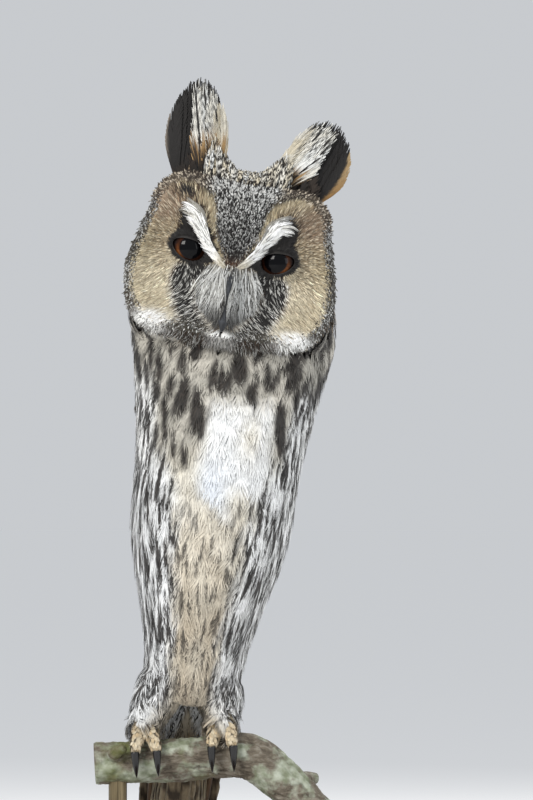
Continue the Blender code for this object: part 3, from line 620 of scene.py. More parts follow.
class Look:
    """A material in the making: its nodes, and the shader that they feed."""

    def __init__(self, name, roughness, specular=0.4, **inputs):
        self.made = bpy.data.materials.new(name)
        self.made.use_nodes = True
        self.tree = self.made.node_tree
        self.shader = self.tree.nodes["Principled BSDF"]
        inputs = {"Roughness": roughness, "Specular_IOR_Level": specular, "Coat_Roughness": 0.04, **inputs}
        for key, value in inputs.items():
            self.shader.inputs[key.replace("_", " ")].default_value = value

    def add(self, kind, **settings):
        """Adds a node, with its properties and its inputs by their names. A socket is linked."""
        node = self.tree.nodes.new("ShaderNode" + kind)
        for name, value in settings.items():
            if name in node.inputs:
                self.feed(value, node.inputs[name])
            else:
                setattr(node, name, value)
        return node

    def feed(self, value, socket):
        """Gives an input its value, which is another node's socket, a colour or a number."""
        if isinstance(value, bpy.types.NodeSocket):
            self.tree.links.new(value, socket)
        elif socket.type == "RGBA":
            socket.default_value = (*value, 1)
        else:
            socket.default_value = value

    def noise(self, scale, detail, rough=0.55, distortion=0.0, stretch=(1, 1, 1)):
        """Noise over places in metres, each axis made denser by the stretch."""
        place = self.add("TexCoord").outputs["Object"]
        place = self.add("Mapping", Vector=place, Scale=stretch).outputs["Vector"]
        settings = {"Scale": scale, "Detail": detail, "Roughness": rough, "Distortion": distortion}
        return self.add("TexNoise", Vector=place, **settings).outputs["Fac"]

    def steps(self, value, *stops):
        """A value or colour that follows stops of (place, colour)."""
        node = self.add("ValToRGB", Fac=value)
        elements = node.color_ramp.elements
        while len(elements) < len(stops):
            elements.new(0.5)
        for element, (place, colour) in zip(elements, stops):
            element.position = place
            element.color = (*np.broadcast_to(colour, 3), 1)
        return node.outputs["Color"]

    def blend(self, low, high, share=1.0, mode="MIX"):
        """Mixes two colours by a share."""
        node = self.add("Mix", data_type="RGBA", blend_type=mode)
        for value, place in ((share, 0), (low, 6), (high, 7)):
            self.feed(value, node.inputs[place])
        return node.outputs[2]

    def painted(self, fine, *stops):
        """The object's own colours, made lighter and darker by fine noise that follows stops."""
        colour = self.add("Attribute", attribute_name="Col").outputs["Color"]
        return self.blend(colour, self.steps(fine, *stops), mode="MULTIPLY")

    def finish(self, colour, height=None, strength=0.0, distance=0.0):
        """Gives the shader its colour and bumps of a strength and a distance in metres."""
        self.feed(colour, self.shader.inputs["Base Color"])
        if height is not None:
            bump = self.add("Bump", Strength=strength, Distance=distance, Height=height)
            self.feed(bump.outputs["Normal"], self.shader.inputs["Normal"])
        return self.made


def plumage_look(name, roughness=0.72, fleck=0.22):
    """Takes the plumage's own colours, with fine flecks and a soft sheen."""
    look = Look(name, roughness, 0.25, Sheen_Weight=0.15, Sheen_Roughness=0.5)
    fine = look.noise(1400, 2, stretch=(1, 1, 0.4))
    return look.finish(look.painted(fine, (0.25, 1 - fleck), (0.75, 1 + fleck * 0.4)), fine, 0.25, 0.0002)


def skin_look():
    """Dull and rough, darkened in places like the roots of down."""
    look = Look("skin", 0.85, 0.15)
    fine = look.noise(700, 4, stretch=(1, 1, 0.5))
    return look.finish(look.painted(fine, (0.3, 0.6), (0.7, 1.0)), fine, 0.6, 0.0006)


def eye_look():
    """Glossy and wet, with fine threads of light and dark in the iris."""
    look = Look("eye", 0.05, 0.14)
    return look.finish(look.painted(look.noise(900, 3), (0.3, 0.75), (0.7, 1.2)))


def lid_look():
    """Bare, nearly black skin with fine wrinkles."""
    look = Look("lids", 0.5, 0.3)
    fine = look.noise(1500, 4)
    return look.finish(look.steps(fine, (0.3, tone(14, 13, 12)), (0.7, tone(38, 34, 32))), fine, 0.5, 0.0003)


def horn_look(name, dark, light, roughness):
    """Fine lines along the bill or a claw, and broad darker patches."""
    look = Look(name, roughness, 0.5)
    lines = look.noise(900, 4, distortion=0.4, stretch=(1, 1, 0.25))
    colour = look.blend(look.steps(lines, (0.3, dark), (0.75, light)), dark, look.noise(120, 2))
    return look.finish(colour, lines, 0.25, 0.0003)


def bark_look():
    """Grey-brown wood along its grain, with lichen in patches and some moss."""
    look = Look("bark", 0.9, 0.2)
    grain = look.noise(420, 6, 0.65, 0.6, stretch=(0.35, 1, 1))
    wood = look.steps(grain, (0.28, tone(48, 42, 36)), (0.5, tone(104, 96, 84)), (0.75, tone(150, 144, 132)))
    spots = look.noise(260, 3, 0.5)
    lichen = look.steps(spots, (0.35, tone(120, 128, 104)), (0.7, tone(186, 192, 176)))
    patches = look.steps(look.noise(75, 4, 0.6), (0.46, 0.0), (0.56, 0.85))
    moss = look.steps(look.noise(40, 3), (0.55, 0.0), (0.68, 0.7))
    colour = look.blend(look.blend(wood, lichen, patches), tone(98, 104, 52), moss)
    return look.finish(colour, grain, 0.8, 0.0008)


def wood_look():
    """The dark varnished wood of the base, its grain along x."""
    look = Look("stand_wood", 0.38, 0.4, Coat_Weight=0.25)
    along = (0.12, 1, 1)
    grain = look.noise(260, 6, 0.6, 1.2, along)
    colour = look.steps(grain, (0.3, tone(58, 34, 20)), (0.55, tone(98, 60, 36)), (0.8, tone(126, 82, 50)))
    rings = look.steps(look.noise(45, 3, 0.5, 2.0, along), (0.35, 0.65), (0.65, 1.1))
    return look.finish(look.blend(colour, rings, mode="MULTIPLY"), grain, 0.12, 0.0003)


def metal_look():
    """The brushed brass-brown metal of the rods."""
    look = Look("stand_metal", 0.34, Metallic=1.0)
    brushed = look.noise(1200, 3, stretch=(1, 1, 0.04))
    look.feed(look.steps(brushed, (0.3, 0.28), (0.7, 0.42)), look.shader.inputs["Roughness"])
    return look.finish(look.steps(brushed, (0.3, tone(92, 82, 64)), (0.7, tone(140, 126, 98))))


# ------------------------------------------------------------------ plumage


BODY = "root"
# How much of the unwrap one strip takes
PATCH = 0.003
# How much of it one vane takes
VANE_PATCH = 0.05


class Coat:
    """Strips and vanes gathered for one piece."""

    def __init__(self, name):
        self.name = name
        self.points = []
        self.quads = []
        self.colours = []
        self.uvs = []
        self.start = 0

    def put(self, points, quads, colours, uvs):
        """Takes in a mesh, with each point's colour and its place on the unwrap."""
        points = points.reshape(-1, 3)
        self.points.append(points)
        self.quads.append(quads + self.start)
        self.colours.append(np.broadcast_to(colours, points.shape).reshape(-1, 3))
        self.uvs.append(uvs.reshape(-1, 2))
        self.start += len(points)

    def strips(self, centres, normals, half, colours, places=None):
        """Thin tapered strips: centres and normals are (strips, rows, 3), half widths (strips, rows)."""
        count, rows, _ = centres.shape
        along = unit(np.gradient(centres, axis=1))
        across = unit(np.cross(normals, along)) * half[..., None]
        points = np.stack([centres - across, centres + across], axis=2)
        each = grid_faces(rows, 2)
        quads = (each[None] + (np.arange(count) * rows * 2)[:, None, None]).reshape(-1, 4)
        colours = np.repeat(colours[:, :, None], 2, axis=2)
        if places is None:
            places = spread_out(centres[:, 0])
        patch = together(np.array([0.0, 1.0]), np.linspace(0, 1, rows)[:, None])
        uvs = places[:, None, None] + (patch[None] - 0.5) * PATCH
        self.put(points, quads, colours.reshape(-1, 3), uvs)

    def build(self, surface, slot, *replaced):
        """Makes the piece, which rides on the bird and takes the place of the named nodes."""
        points = np.concatenate(self.points)
        quads = np.concatenate(self.quads)
        obj = mesh_object(self.name, points, quads)
        paint(obj, np.concatenate(self.colours))
        layer = obj.data.uv_layers.new(name="OFBake")
        uvs = np.concatenate(self.uvs)[quads.ravel()]
        layer.data.foreach_set("uv", np.clip(uvs, 0.0005, 0.9995).astype(np.float32).ravel())
        obj.data.materials.append(surface)
        return keep(obj, slot, *replaced)


def keep(obj, slot, *replaced):
    """Makes a piece part of the owl."""
    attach(obj, BODY)
    if replaced:
        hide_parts(*replaced)
    return obj


def piece(name, body, surface, slot, *replaced):
    """Makes a piece of (points, faces)."""
    obj = mesh_object(name, *body)
    obj.data.materials.append(surface)
    return keep(obj, slot, *replaced)


def spread_out(points):
    """Places on an unwrap of the bird round its own upright line, spread over the whole square."""
    rows = together(*round_hull(points))
    low = rows.min(axis=0) - 1
    high = rows.max(axis=0) + 1
    return np.clip((rows - low) / (high - low), 0.003, 0.997)


def trace(surface, roots, lie, lengths, rows, turn):
    """Lines of points over a surface from the roots along the lie, turned by an angle, and their normals."""
    here, normal = surface.near(roots)
    places = [here]
    normals = [normal]
    step = (lengths / (rows - 1))[:, None]
    c = np.cos(turn)[:, None]
    s = np.sin(turn)[:, None]
    for _ in range(rows - 1):
        way = lie(here)
        way = unit(way - normal * dot(way, normal))
        way = way * c + np.cross(normal, way) * s
        here, normal = surface.near(here + way * step)
        places.append(here)
        normals.append(normal)
    return np.stack(places, axis=1), np.stack(normals, axis=1)


def bent(line, at):
    """Reads lines of points (lines, rows, 3) at shares of their length (lines, more)."""
    rows = line.shape[1]
    place = np.clip(at, 0, 1) * (rows - 1)
    low = np.clip(np.floor(place).astype(int), 0, rows - 2)
    share = (place - low)[..., None]
    pick = np.arange(len(line)).reshape((-1,) + (1,) * (at.ndim - 1))
    return line[pick, low] * (1 - share) + line[pick, low + 1] * share


def barbed(coat, shafts, normals, half, style, barbs=15, rows=4, width=0.36, loose=0.25, soft=0.5):
    """Feathers of many barbs: shafts and normals are (feathers, rows, 3), half the width of each feather.

    Soft barbs run nearly along the shaft. style(points, s, t, barb) gives the colours at world places and at
    shares along and across a feather, with a number for each barb.
    """
    shape = (len(shafts), 2, barbs, 1)
    rank = np.clip(np.linspace(0, 1, barbs)[None, None, :, None] + spread(-0.03, 0.03, shape), 0, 1)
    q = np.linspace(0, 1, rows)
    side = np.array([-1.0, 1.0])[None, :, None, None]
    start = 0.04 + (0.88 - 0.22 * soft) * rank
    end = (0.32 + 0.34 * soft) + (0.70 - 0.34 * soft) * rank + spread(-loose, loose, shape) * 0.14
    s = start + (end - start) * q
    reach = np.sqrt(np.clip(1 - rank**2.6, 0.015, 1)) * (0.6 + 0.4 * ramp(0, 0.25, rank))
    reach = reach * (1 + spread(-loose, loose, shape) * 0.6)
    t = side * reach * q ** (0.7 + 0.2 * soft)
    beyond = np.clip(s - 1, 0, None)
    base = bent(shafts, s)
    up = unit(bent(normals, s))
    along = unit(bent(np.gradient(shafts, axis=1), s))
    across = unit(np.cross(up, along))
    length = np.linalg.norm(np.diff(shafts, axis=1), axis=-1).sum(axis=1)[:, None, None, None, None]
    half = np.asarray(half, float).reshape(-1, 1, 1, 1)
    drop = (t * half) ** 2 / 60 + 0.3 * q * spread(0, 1, shape)
    lines = base + along * beyond[..., None] * length + across * (t * half)[..., None] - up * drop[..., None]
    thin = width * (1 - 0.62 * q**2) * (0.75 + 0.5 * spread(0, 1, shape))
    barb = spread(-1, 1, shape) + 0 * q
    colours = style(lines, s, t, barb)
    local = together(side * q * 0.3, (s - 0.5) * 0.6)[..., 0, :] * PATCH
    places = np.repeat(spread_out(shafts[:, 0]), 2 * barbs, axis=0) + local.reshape(-1, 2)
    flat = (len(places), rows, 3)
    coat.strips(lines.reshape(flat), up.reshape(flat), thin.reshape(flat[:2]), colours.reshape(flat), places)


# ------------------------------------------------------------------ colours


WHITE = tone(244, 244, 241)
SILK = tone(226, 228, 226)
# The grey-blue of white plumage in shade, for the painted shade on the breast's white patch
SHADED_WHITE = tone(208, 214, 222)
CREAM = tone(216, 206, 182)
BUFF = tone(190, 166, 126)
TAN = tone(162, 150, 122)
OCHRE = tone(166, 126, 74)
BROWN = tone(104, 80, 54)
UMBER = tone(66, 52, 40)
GREY = tone(142, 141, 136)
SOOT = tone(37, 35, 34)
RUST = tone(96, 64, 42)


# ------------------------------------------------------------------ skin


def head_rings(front, back):
    """Rings of the head's shape with its eye sockets, moved in by one depth on the face and one behind."""
    angle, radius, behind = rim(np.linspace(0, 360, 120, endpoint=False))
    rings = []
    for share in np.linspace(0.03, 1.0, 36):
        u, v = place_on_face(angle, radius * share - front * share)
        socket = 8 * ramp(1.35, 1.05, in_eye(u, v))
        rings.append(together(u, v, face_w(u, v) - front - socket))
    edge = rings[-1][:, 2]
    for share in np.linspace(0.08, 0.97, 16):
        size = (1 - share**2.6) ** (1 / 2.2)
        out = ramp(0, 0.3, share)
        u, v = place_on_face(angle, (radius + behind * out - between((front, back), out)) * size)
        w = edge + share * (NAPE_DEPTH + back - edge)
        rings.append(together(u, v - NAPE_DROP * (1 - size), w))
    return from_head(np.array(rings))


def limb_at(x):
    """Middle line and radius of the limb at a world x."""
    return np.array([x, *through(LIMB, x)])


def round_limb(x, lift, degrees, slide=0.0):
    """Places round the limb: degrees from its top to the front, lifted off its bark and slid along it."""
    mid = limb_at(x)
    angle = np.radians(np.asarray(degrees, float))
    lift = np.broadcast_to(np.asarray(lift, float), angle.shape)
    slide = np.broadcast_to(np.asarray(slide, float), angle.shape)
    along = unit(limb_at(x + 1)[:3] - limb_at(x - 1)[:3])
    up = np.array([-along[2], 0, along[0]])
    front = np.array([0, -1, 0])
    out = np.cos(angle)[:, None] * up + np.sin(angle)[:, None] * front
    return mid[:3] + slide[:, None] * along + (mid[3] + lift)[:, None] * out


def toe_line(side, toe, rows=12):
    """Middle line of one toe, and of the claw that ends it."""
    way, aside = TOES[toe]
    t = np.linspace(0, 1, rows)
    slide = OUTSIDE[side] * aside * (0.35 + 0.65 * t)
    toes = round_limb(FOOT_X[side], TOE_RADIUS + 0.3, way * (8 + (TOE_REACH - 8) * t), slide)
    lift = TOE_RADIUS * (1 - t) + CLAW_RADIUS * 0.9
    claws = round_limb(FOOT_X[side], lift + 0.3, way * (TOE_REACH + CLAW_REACH * t), slide[-1])
    return toes, claws


def leg_rings(side):
    """Rings of a leg, from inside the trunk to the limb."""
    top = np.array([OUTSIDE[side] * LEG_TOP_X, 0.0, TORSO_BOTTOM + 8])
    foot = round_limb(FOOT_X[side], [6.0], [0.0])[0]
    turn = turns(32)
    circle = together(np.cos(turn), 1.15 * np.sin(turn), 0.0)
    rings = []
    for t in np.linspace(0, 1, 8):
        size = LEG_RADIUS * curve([(0, 1.0), (0.35, 0.92), (0.7, 0.8), (1, 0.62)], t) - LEG_COAT
        rings.append(from_body(circle * size + top) + (foot - from_body(top)) * t)
    return rings


def rump_rings():
    """Rings of the rump, which narrows down between the legs and the tail."""
    turn = turns(32)
    rings = []
    for t in np.linspace(0, 1, 10):
        middle = from_body((0, 22 + 4 * t, TORSO_BOTTOM + 6 - 42 * t))
        rings.append(middle + together((13 - 2 * t) * np.cos(turn), (9 - 6 * t) * np.sin(turn), 0.0))
    return rings


def skin():
    """The bird's whole skin: head, neck, trunk, rump, legs and toes as one closed surface."""
    theta = np.linspace(-180, 180, 72, endpoint=False)
    trunk = [hull(theta, z, -BODY_COAT) for z in np.linspace(TORSO_BOTTOM, COLLAR_TOP - 6, 48)]
    bodies = [capped(trunk), capped(head_rings(FACE_COAT, HEAD_COAT)), capped(rump_rings())]
    for side in FOOT_X:
        bodies.append(capped(leg_rings(side)))
        for toe in TOES:
            line = toe_line(side, toe)[0]
            bodies.append(tube(line, np.linspace(1.0, 0.74, len(line)) * TOE_RADIUS - 0.9))
    obj = mesh_object("owl_skin", *joined(bodies))
    remesh = obj.modifiers.new("remesh", "REMESH")
    remesh.mode = "VOXEL"
    remesh.voxel_size = SKIN_VOXEL * MM
    remesh.use_smooth_shade = True
    ease = obj.modifiers.new("ease", "SMOOTH")
    ease.factor = 0.5
    ease.iterations = 4
    return baked(obj)


def paint_skin(obj, points):
    """Gives the skin the colours of what lies over it, darkened as painted shade under the coat and painted
    black in the hollow round the disc's rim, so that gaps in the coat don't show.
    """
    u, v, w = parts(to_head(points))
    share = disc_share(u, v)
    ground = body_tones(points)[0]
    # Painted shade under the coat: the body's colours darker, less so where they are pale, and the face's at
    # half
    ground = ground * (0.45 + 0.4 * ramp(0.62, 0.8, ground.mean(axis=-1)))[..., None]
    ground = np.where(in_face(u, v, w, 1.0)[:, None], face_tones(u, v)[0] * 0.5, ground)
    # Painted shade in the hollow round the disc's rim: black
    paint(obj, mix(ground, SOOT, ramp(0.86, 0.92, share) * ramp(1.15, 1.06, share) * ramp(0, 6, w)))
    obj.data.materials.clear()
    obj.data.materials.append(SKIN)
    return keep(obj, "plumage_breast")


# ------------------------------------------------------------------ markings of the face


# Middle lines of the brows, as the share of the way out, u and v, and half their width
BROWS = {
    "left": [
        (0, 2.0, -6.0), (0.25, 6.3, -1.2), (0.5, 10.3, 4.2),
        (0.75, 14.2, 11.4), (0.9, 17.6, 16.2), (1, 21.5, 17.9),
    ],
    "right": [
        (0, -2.8, -6.0), (0.25, -7.6, -1.6), (0.5, -12.2, 4.2),
        (0.75, -17.0, 12.0), (0.9, -20.0, 16.4), (1, -24.0, 18.6),
    ],
}
BROW_WIDTH = [(0, 0.9), (0.3, 1.3), (0.55, 2.1), (0.8, 3.2), (1, 3.5)]
# Half widths at heights on the face: the speckled shield over the bill, the fan of bristles, the bill's ridge
SHIELD = [
    (-8, 1.0), (-4, 3.5), (0, 5.5), (6, 8.5), (14, 10.5),
    (20, 11.5), (24, 14.0), (27, 19.0), (31, 30.0),
]
FAN = [(-36, 1.5), (-33, 4.5), (-27.5, 9.5), (-19, 14.0), (-14, 14.6), (-10.5, 13.5), (-6, 9.5), (-3, 6.0)]
RIDGE = [(-33, 4.2), (-28, 2.4), (-24, 1.0), (-18, 1.3), (-14, 2.5), (-9, 2.9), (-6, 1.2)]
# The black line from the eye's inner corner round the bristles, and the height of the chin's upper edge
MOUSTACHE = [(0, 15.0, -8.0), (0.25, 19.8, -11.5), (0.5, 19.6, -18.8), (0.75, 15.5, -28.0), (1, 11.0, -34.5)]
CHIN = [(0, -33.8), (6, -31.0), (12, -29.0), (20, -29.5), (27, -33.0), (33, -34.5), (37, -27.5), (42, -19.5)]


def along_curve(stations, u, v, steps=60):
    """Distance from a curve to places on the face, and the share of it that is nearest."""
    t = np.linspace(0, 1, steps)
    line = through(stations, t)
    gaps = np.hypot(u[..., None] - line[:, 0], v[..., None] - line[:, 1])
    return gaps.min(axis=-1), t[gaps.argmin(axis=-1)]


def in_face(u, v, w, most):
    """Whether places in the head's frame belong to the face, out to a share of the disc."""
    return (disc_share(u, v) < most) & (w > face_w(u, v) - FACE_COAT - 3.0)


def face_tones(u, v):
    """Base colour of the face at u and v, how speckled it is, how white it is in patches, and how black."""
    side = np.abs(u)
    brown = mix(mix(BROWN, OCHRE, 0.22), GREY, 0.34)
    colour = mix(TAN, CREAM, 0.34 * ramp(2, -16, v) + hills(side, v, (0.30, 29, -10, 9, 11)))
    colour = mix(colour, brown, hills(side, v, (0.85, 29, 18, 11, 8), (0.75, 37, 20, 9, 13)))
    colour = mix(colour, brown, hills(side, v, (0.4, 31, 1, 5, 9)))
    near, along = along_curve(MOUSTACHE, side, v)
    ring = 1.28 + 0.55 * ramp(6, -6, side - EYES["left"][0] - v) * ramp(-8, -2, v)
    dark = np.maximum.reduce([
        hills(side, v, (1.7, 20.5, 14.0, 5.6, 6.2), (1.4, 16.5, 6.8, 7.0, 4.2)),
        # Dark patches beyond the brows' outer ends: the one on the owl's right is stronger, partly its own
        # colour and partly painted shade
        hills(u, v, (0.8, -25, 25, 8, 6), (0.3, 24, 24, 7, 4)),
        ramp(8.4, 2.6, near) * (0.95 - 0.10 * along),
        ramp(ring + 0.22, ring - 0.05, in_eye(u, v)),
    ])
    fan = ramp(2.5, -2.5, side - curve(FAN, v)) * ramp(0, -5, v)
    colour = mix(colour, mix(SOOT, GREY, 0.45), fan)
    shield = ramp(1.0, -1.0, side - curve(SHIELD, v)) * ramp(-8, -5, v)
    colour = mix(colour, mix(SOOT, RUST, hills(u, v, (0.7, 0, -5, 7, 4))), shield)
    chin = ramp(1.2, -1.2, v - curve(CHIN, side))
    edge = ramp(0.890, 0.925, disc_share(u, v) + 0.012 * np.sin(u * 0.9) * np.sin(v * 1.1))
    white = hills(side, v, (1.7, 31.5, -32.2, 6.4, 3.0), (1.6, 1.8, -35.2, 3.6, 1.6))
    return colour, np.maximum.reduce([shield, edge, chin]), np.clip(white, 0, 1), np.clip(dark, 0, 1)


# ------------------------------------------------------------------ the face's plumage


BRISTLE_ROWS = 8


def one_long(u, v):
    """The direction of u and v."""
    size = np.hypot(u, v) + 1e-9
    return u / size, v / size


def face_lie(u, v):
    """The way that the hairs of the disc run, away from the eye and the bill."""
    side = np.where(u < 0, -1, 1)
    du = u - np.where(u > 0, EYES["left"][0], EYES["right"][0])
    dv = v + 1.0
    away = np.hypot(du, dv) + 1e-6
    wu = du / away + 0.22 * side
    wv = dv / away - 0.18
    low = ramp(-10, -24, v)
    wu = wu * (1 - low) + low * side * (0.75 + 0.2 * np.abs(u) / 30)
    wv = wv * (1 - low) - low * 0.65
    shield = ramp(2.0, -2.0, np.abs(u) - curve(SHIELD, v)) * ramp(-9, -5, v)
    return one_long(wu * (1 - shield) + shield * u * 0.035, wv * (1 - shield) + shield)


def face_strips(coat, u, v, lie, lengths, half, lifts, colours, rows=4, turn=0.16):
    """Strips on the face from u and v along the lie, with lifts as (share, height) and colours(u, v, t)."""
    count = len(u)
    swing = rng.normal(0, turn, count)
    c = np.cos(swing)
    s = np.sin(swing)
    us = [u]
    vs = [v]
    step = lengths / (rows - 1)
    for _ in range(rows - 1):
        wu, wv = lie(us[-1], vs[-1])
        us.append(us[-1] + step * (wu * c - wv * s))
        vs.append(vs[-1] + step * (wu * s + wv * c))
    us = np.array(us).T
    vs = np.array(vs).T
    t = np.linspace(0, 1, rows)
    centres = face(us, vs, curve(lifts, t) + spread(-0.25, 0.25, (count, 1)))
    taper = curve([(0, 0.7), (0.45, 1.0), (0.8, 0.75), (1, 0.15)], t)
    halves = half * taper * spread(0.75, 1.2, (count, 1))
    coat.strips(centres, face_normal(us, vs), halves, colours(us, vs, t))


def scatter(gap):
    """Jittered places over the disc."""
    u, v = np.meshgrid(np.arange(-50, 50, gap), np.arange(-44, 36, gap))
    u = u + spread(-0.5, 0.5, u.shape) * gap
    v = v + spread(-0.5, 0.5, v.shape) * gap
    inside = disc_share(u, v) < 1.0
    return u[inside], v[inside]


def disc_coat():
    """The fine hairs of the disc."""
    coat = Coat("coat_disc")
    u, v = scatter(0.44)
    speckle = face_tones(u, v)[1]
    plain = (in_eye(u, v) > 1.0) & (speckle < spread(0.25, 0.75, u.shape))
    u, v = shuffled(u[plain], v[plain])
    lengths = 2.4 + 4.4 * ramp(1.2, 4.5, in_eye(u, v)) + spread(-0.7, 1.0, u.shape)
    lengths = lengths * (1 - 0.55 * ramp(0.78, 0.92, disc_share(u, v)))
    fleck = rng.normal(0, 1, len(u))
    streak = spread(0, 1, len(u))[:, None]
    other = spread(0, 1, len(u))[:, None]

    def colours(us, vs, t):
        base, _, white, dark = face_tones(us, vs)
        base = mix(base, CREAM, 0.42 * (streak > 0.72))
        base = mix(base, BROWN, 0.42 * (streak < 0.18))
        low = ramp(-5, -9, vs)
        base = mix(base, mix(SILK, BUFF, 0.5 * (other < 0.4)), 0.8 * low * dark)
        held = other < 0.04 + 0.96 * dark * (1 - 0.20 * low)
        black = np.where(held, ramp(0.15, 0.45, dark), 0.5 * ramp(0.75, 1, dark))
        base = mix(base, mix(UMBER, SOOT * 0.8, ramp(0.45, 0.8, dark)), black)
        base = mix(base, WHITE, white * (streak > 0.10))
        shade = np.exp(0.28 * fleck)[:, None] * (0.80 + 0.24 * t)
        return np.clip(base * shade[..., None], 0.002, 0.9)

    face_strips(coat, u, v, face_lie, lengths, 0.21, [(0, -1.3), (0.4, -0.45), (1, 0.2)], colours, turn=0.13)
    return coat.build(PLUMAGE, "plumage_face", "head")


def speck_lie(u, v):
    """The way that the specks run: as the hairs do, but down along the rim."""
    wu, wv = face_lie(u, v)
    out = ramp(0.85, 0.95, disc_share(u, v)) * ramp(24, 14, v)
    away = np.hypot(u, v - DISC_CENTRE) + 1e-6
    wu = wu * (1 - out) + out * u / away * 0.25
    return one_long(wu, wv * (1 - out) + out * ((v - DISC_CENTRE) / away * 0.25 - 0.8))


def speck_colours(u, v, high, low):
    """A colour function of the specks rooted at u and v: dark, and some of them with a light tip."""
    kind = spread(0, 1, len(u))
    size = spread(0.55, 1.0, len(u))
    brown = ramp(12, 18, np.abs(u)) * ramp(16, 22, v)
    over_bill = ramp(4, -2, v) * ramp(-12, -8, v)
    few = 0.35 + 0.14 * high - 0.24 * brown - 0.24 * low - 0.24 * over_bill
    tip = np.where(kind < few, 1.0, np.where(kind < few + 0.15, 0.3, 0.0))
    kind, size, brown, tip = (values[:, None] for values in (kind, size, brown, tip))

    def colours(us, vs, t):
        base, _, white, _ = face_tones(us, vs)
        warm = 0.12 + 0.5 * ramp(4, -5, vs) * ramp(-12, -8, vs)
        light = mix(SILK, BUFF, (kind * 37 % 1) * warm)
        light = mix(light, BUFF, 0.6 * brown)
        ground = mix(SOOT, UMBER, 0.6 * brown)
        ground = mix(ground, base, 0.10 + hills(us, vs, (0.7, 0, -5, 7, 4)))
        shown = tip * ramp(0.35, 0.6, t) * ramp(1.2, 0.85, t) * size
        bright = 0.72 + 0.28 * np.maximum(ramp(6, 20, vs), ramp(-12, -20, vs))
        return mix(mix(ground * 0.85, light, shown * bright), WHITE, white * (kind < 0.8))

    return colours


def speck_coat():
    """The short black feathers with white tips on forehead, rim and chin."""
    coat = Coat("coat_specks")
    u, v = scatter(0.41)
    speckle = face_tones(u, v)[1]
    held = (speckle > spread(0.2, 0.6, u.shape)) & (in_eye(u, v) > 1.5)
    u, v = shuffled(u[held], v[held])
    high = ramp(16, 28, v)
    low = ramp(-20, -26, v)
    colours = speck_colours(u, v, high, low)
    lengths = spread(1.4, 2.1, len(u)) + 1.1 * high + 0.7 * low
    rim_share = ramp(0.86, 0.93, disc_share(u, v)) * ramp(26, 16, v)
    half = (0.21 + 0.17 * high + 0.04 * low + 0.08 * rim_share)[:, None]
    lifts = [(0, -1.1), (0.4, -0.3), (1, 0.3)]
    face_strips(coat, u, v, speck_lie, lengths, half, lifts, colours, rows=5, turn=0.35)
    rim_fringe(coat)
    return coat.build(PLUMAGE, "plumage_face")


def rim_fringe(coat):
    """Longer hairs that run out from the rim's lower edge over the neck, lifted less toward the sides."""
    count = 6000
    u = spread(-44, 44, count)
    v = spread(-40, -22, count)
    share = disc_share(u, v)
    edge = (share > 0.92) & (share < 0.995)
    u = u[edge]
    v = v[edge]

    def colours(us, vs, t):
        kind = spread(0, 1, (len(us), 1))
        white = face_tones(us[:, :1], vs[:, :1])[2] * (0.45 + 1.05 * ramp(8, 20, np.abs(us[:, :1])))
        made = mix(mix(SOOT, UMBER, kind), mix(GREY, SILK, kind), (kind < 0.35) * ramp(0.1, 0.6, t))
        return mix(made, WHITE, np.clip(white, 0, 1) * (kind > 0.36))

    def down_and_out(us, vs):
        return 0.42 * np.sin(us / 28), np.full_like(vs, -0.93)

    side = np.abs(u)
    for held, tip in ((side < 17, 5.2), ((side >= 17) & (side < 29), 3.0), (side >= 29, 0.2)):
        lengths = spread(3.0, 6.6, int(held.sum())) * (0.55 + 0.09 * tip)
        lifts = [(0, -0.6), (0.5, 0.3 * tip), (1, tip)]
        face_strips(coat, u[held], v[held], down_and_out, lengths, 0.17, lifts, colours, rows=5, turn=0.4)


def brow_colours(at, t, frayed, shade):
    """White, greyer where frayed, and warm toward the bill, where at is the place along the brow."""
    loose = spread(0, 1, (len(at), 1))
    grey = 1.0 * (loose < 0.65 * ramp(0.0, 0.9, frayed)) + 0.9 * (loose > 0.86)
    colours = mix(WHITE, mix(GREY, SOOT, 0.35), np.minimum(grey, 0.9))
    warm = 0.9 * ramp(0.38, 0.05, at) + 0.25 * (shade < -0.1)[:, None]
    colours = mix(colours, mix(CREAM, GREY, 0.3), warm)
    colours = colours * (np.exp(shade)[:, None] * (0.66 + 0.34 * ramp(0, 0.4, t)))[..., None]
    return np.clip(colours, 0.01, 0.93)


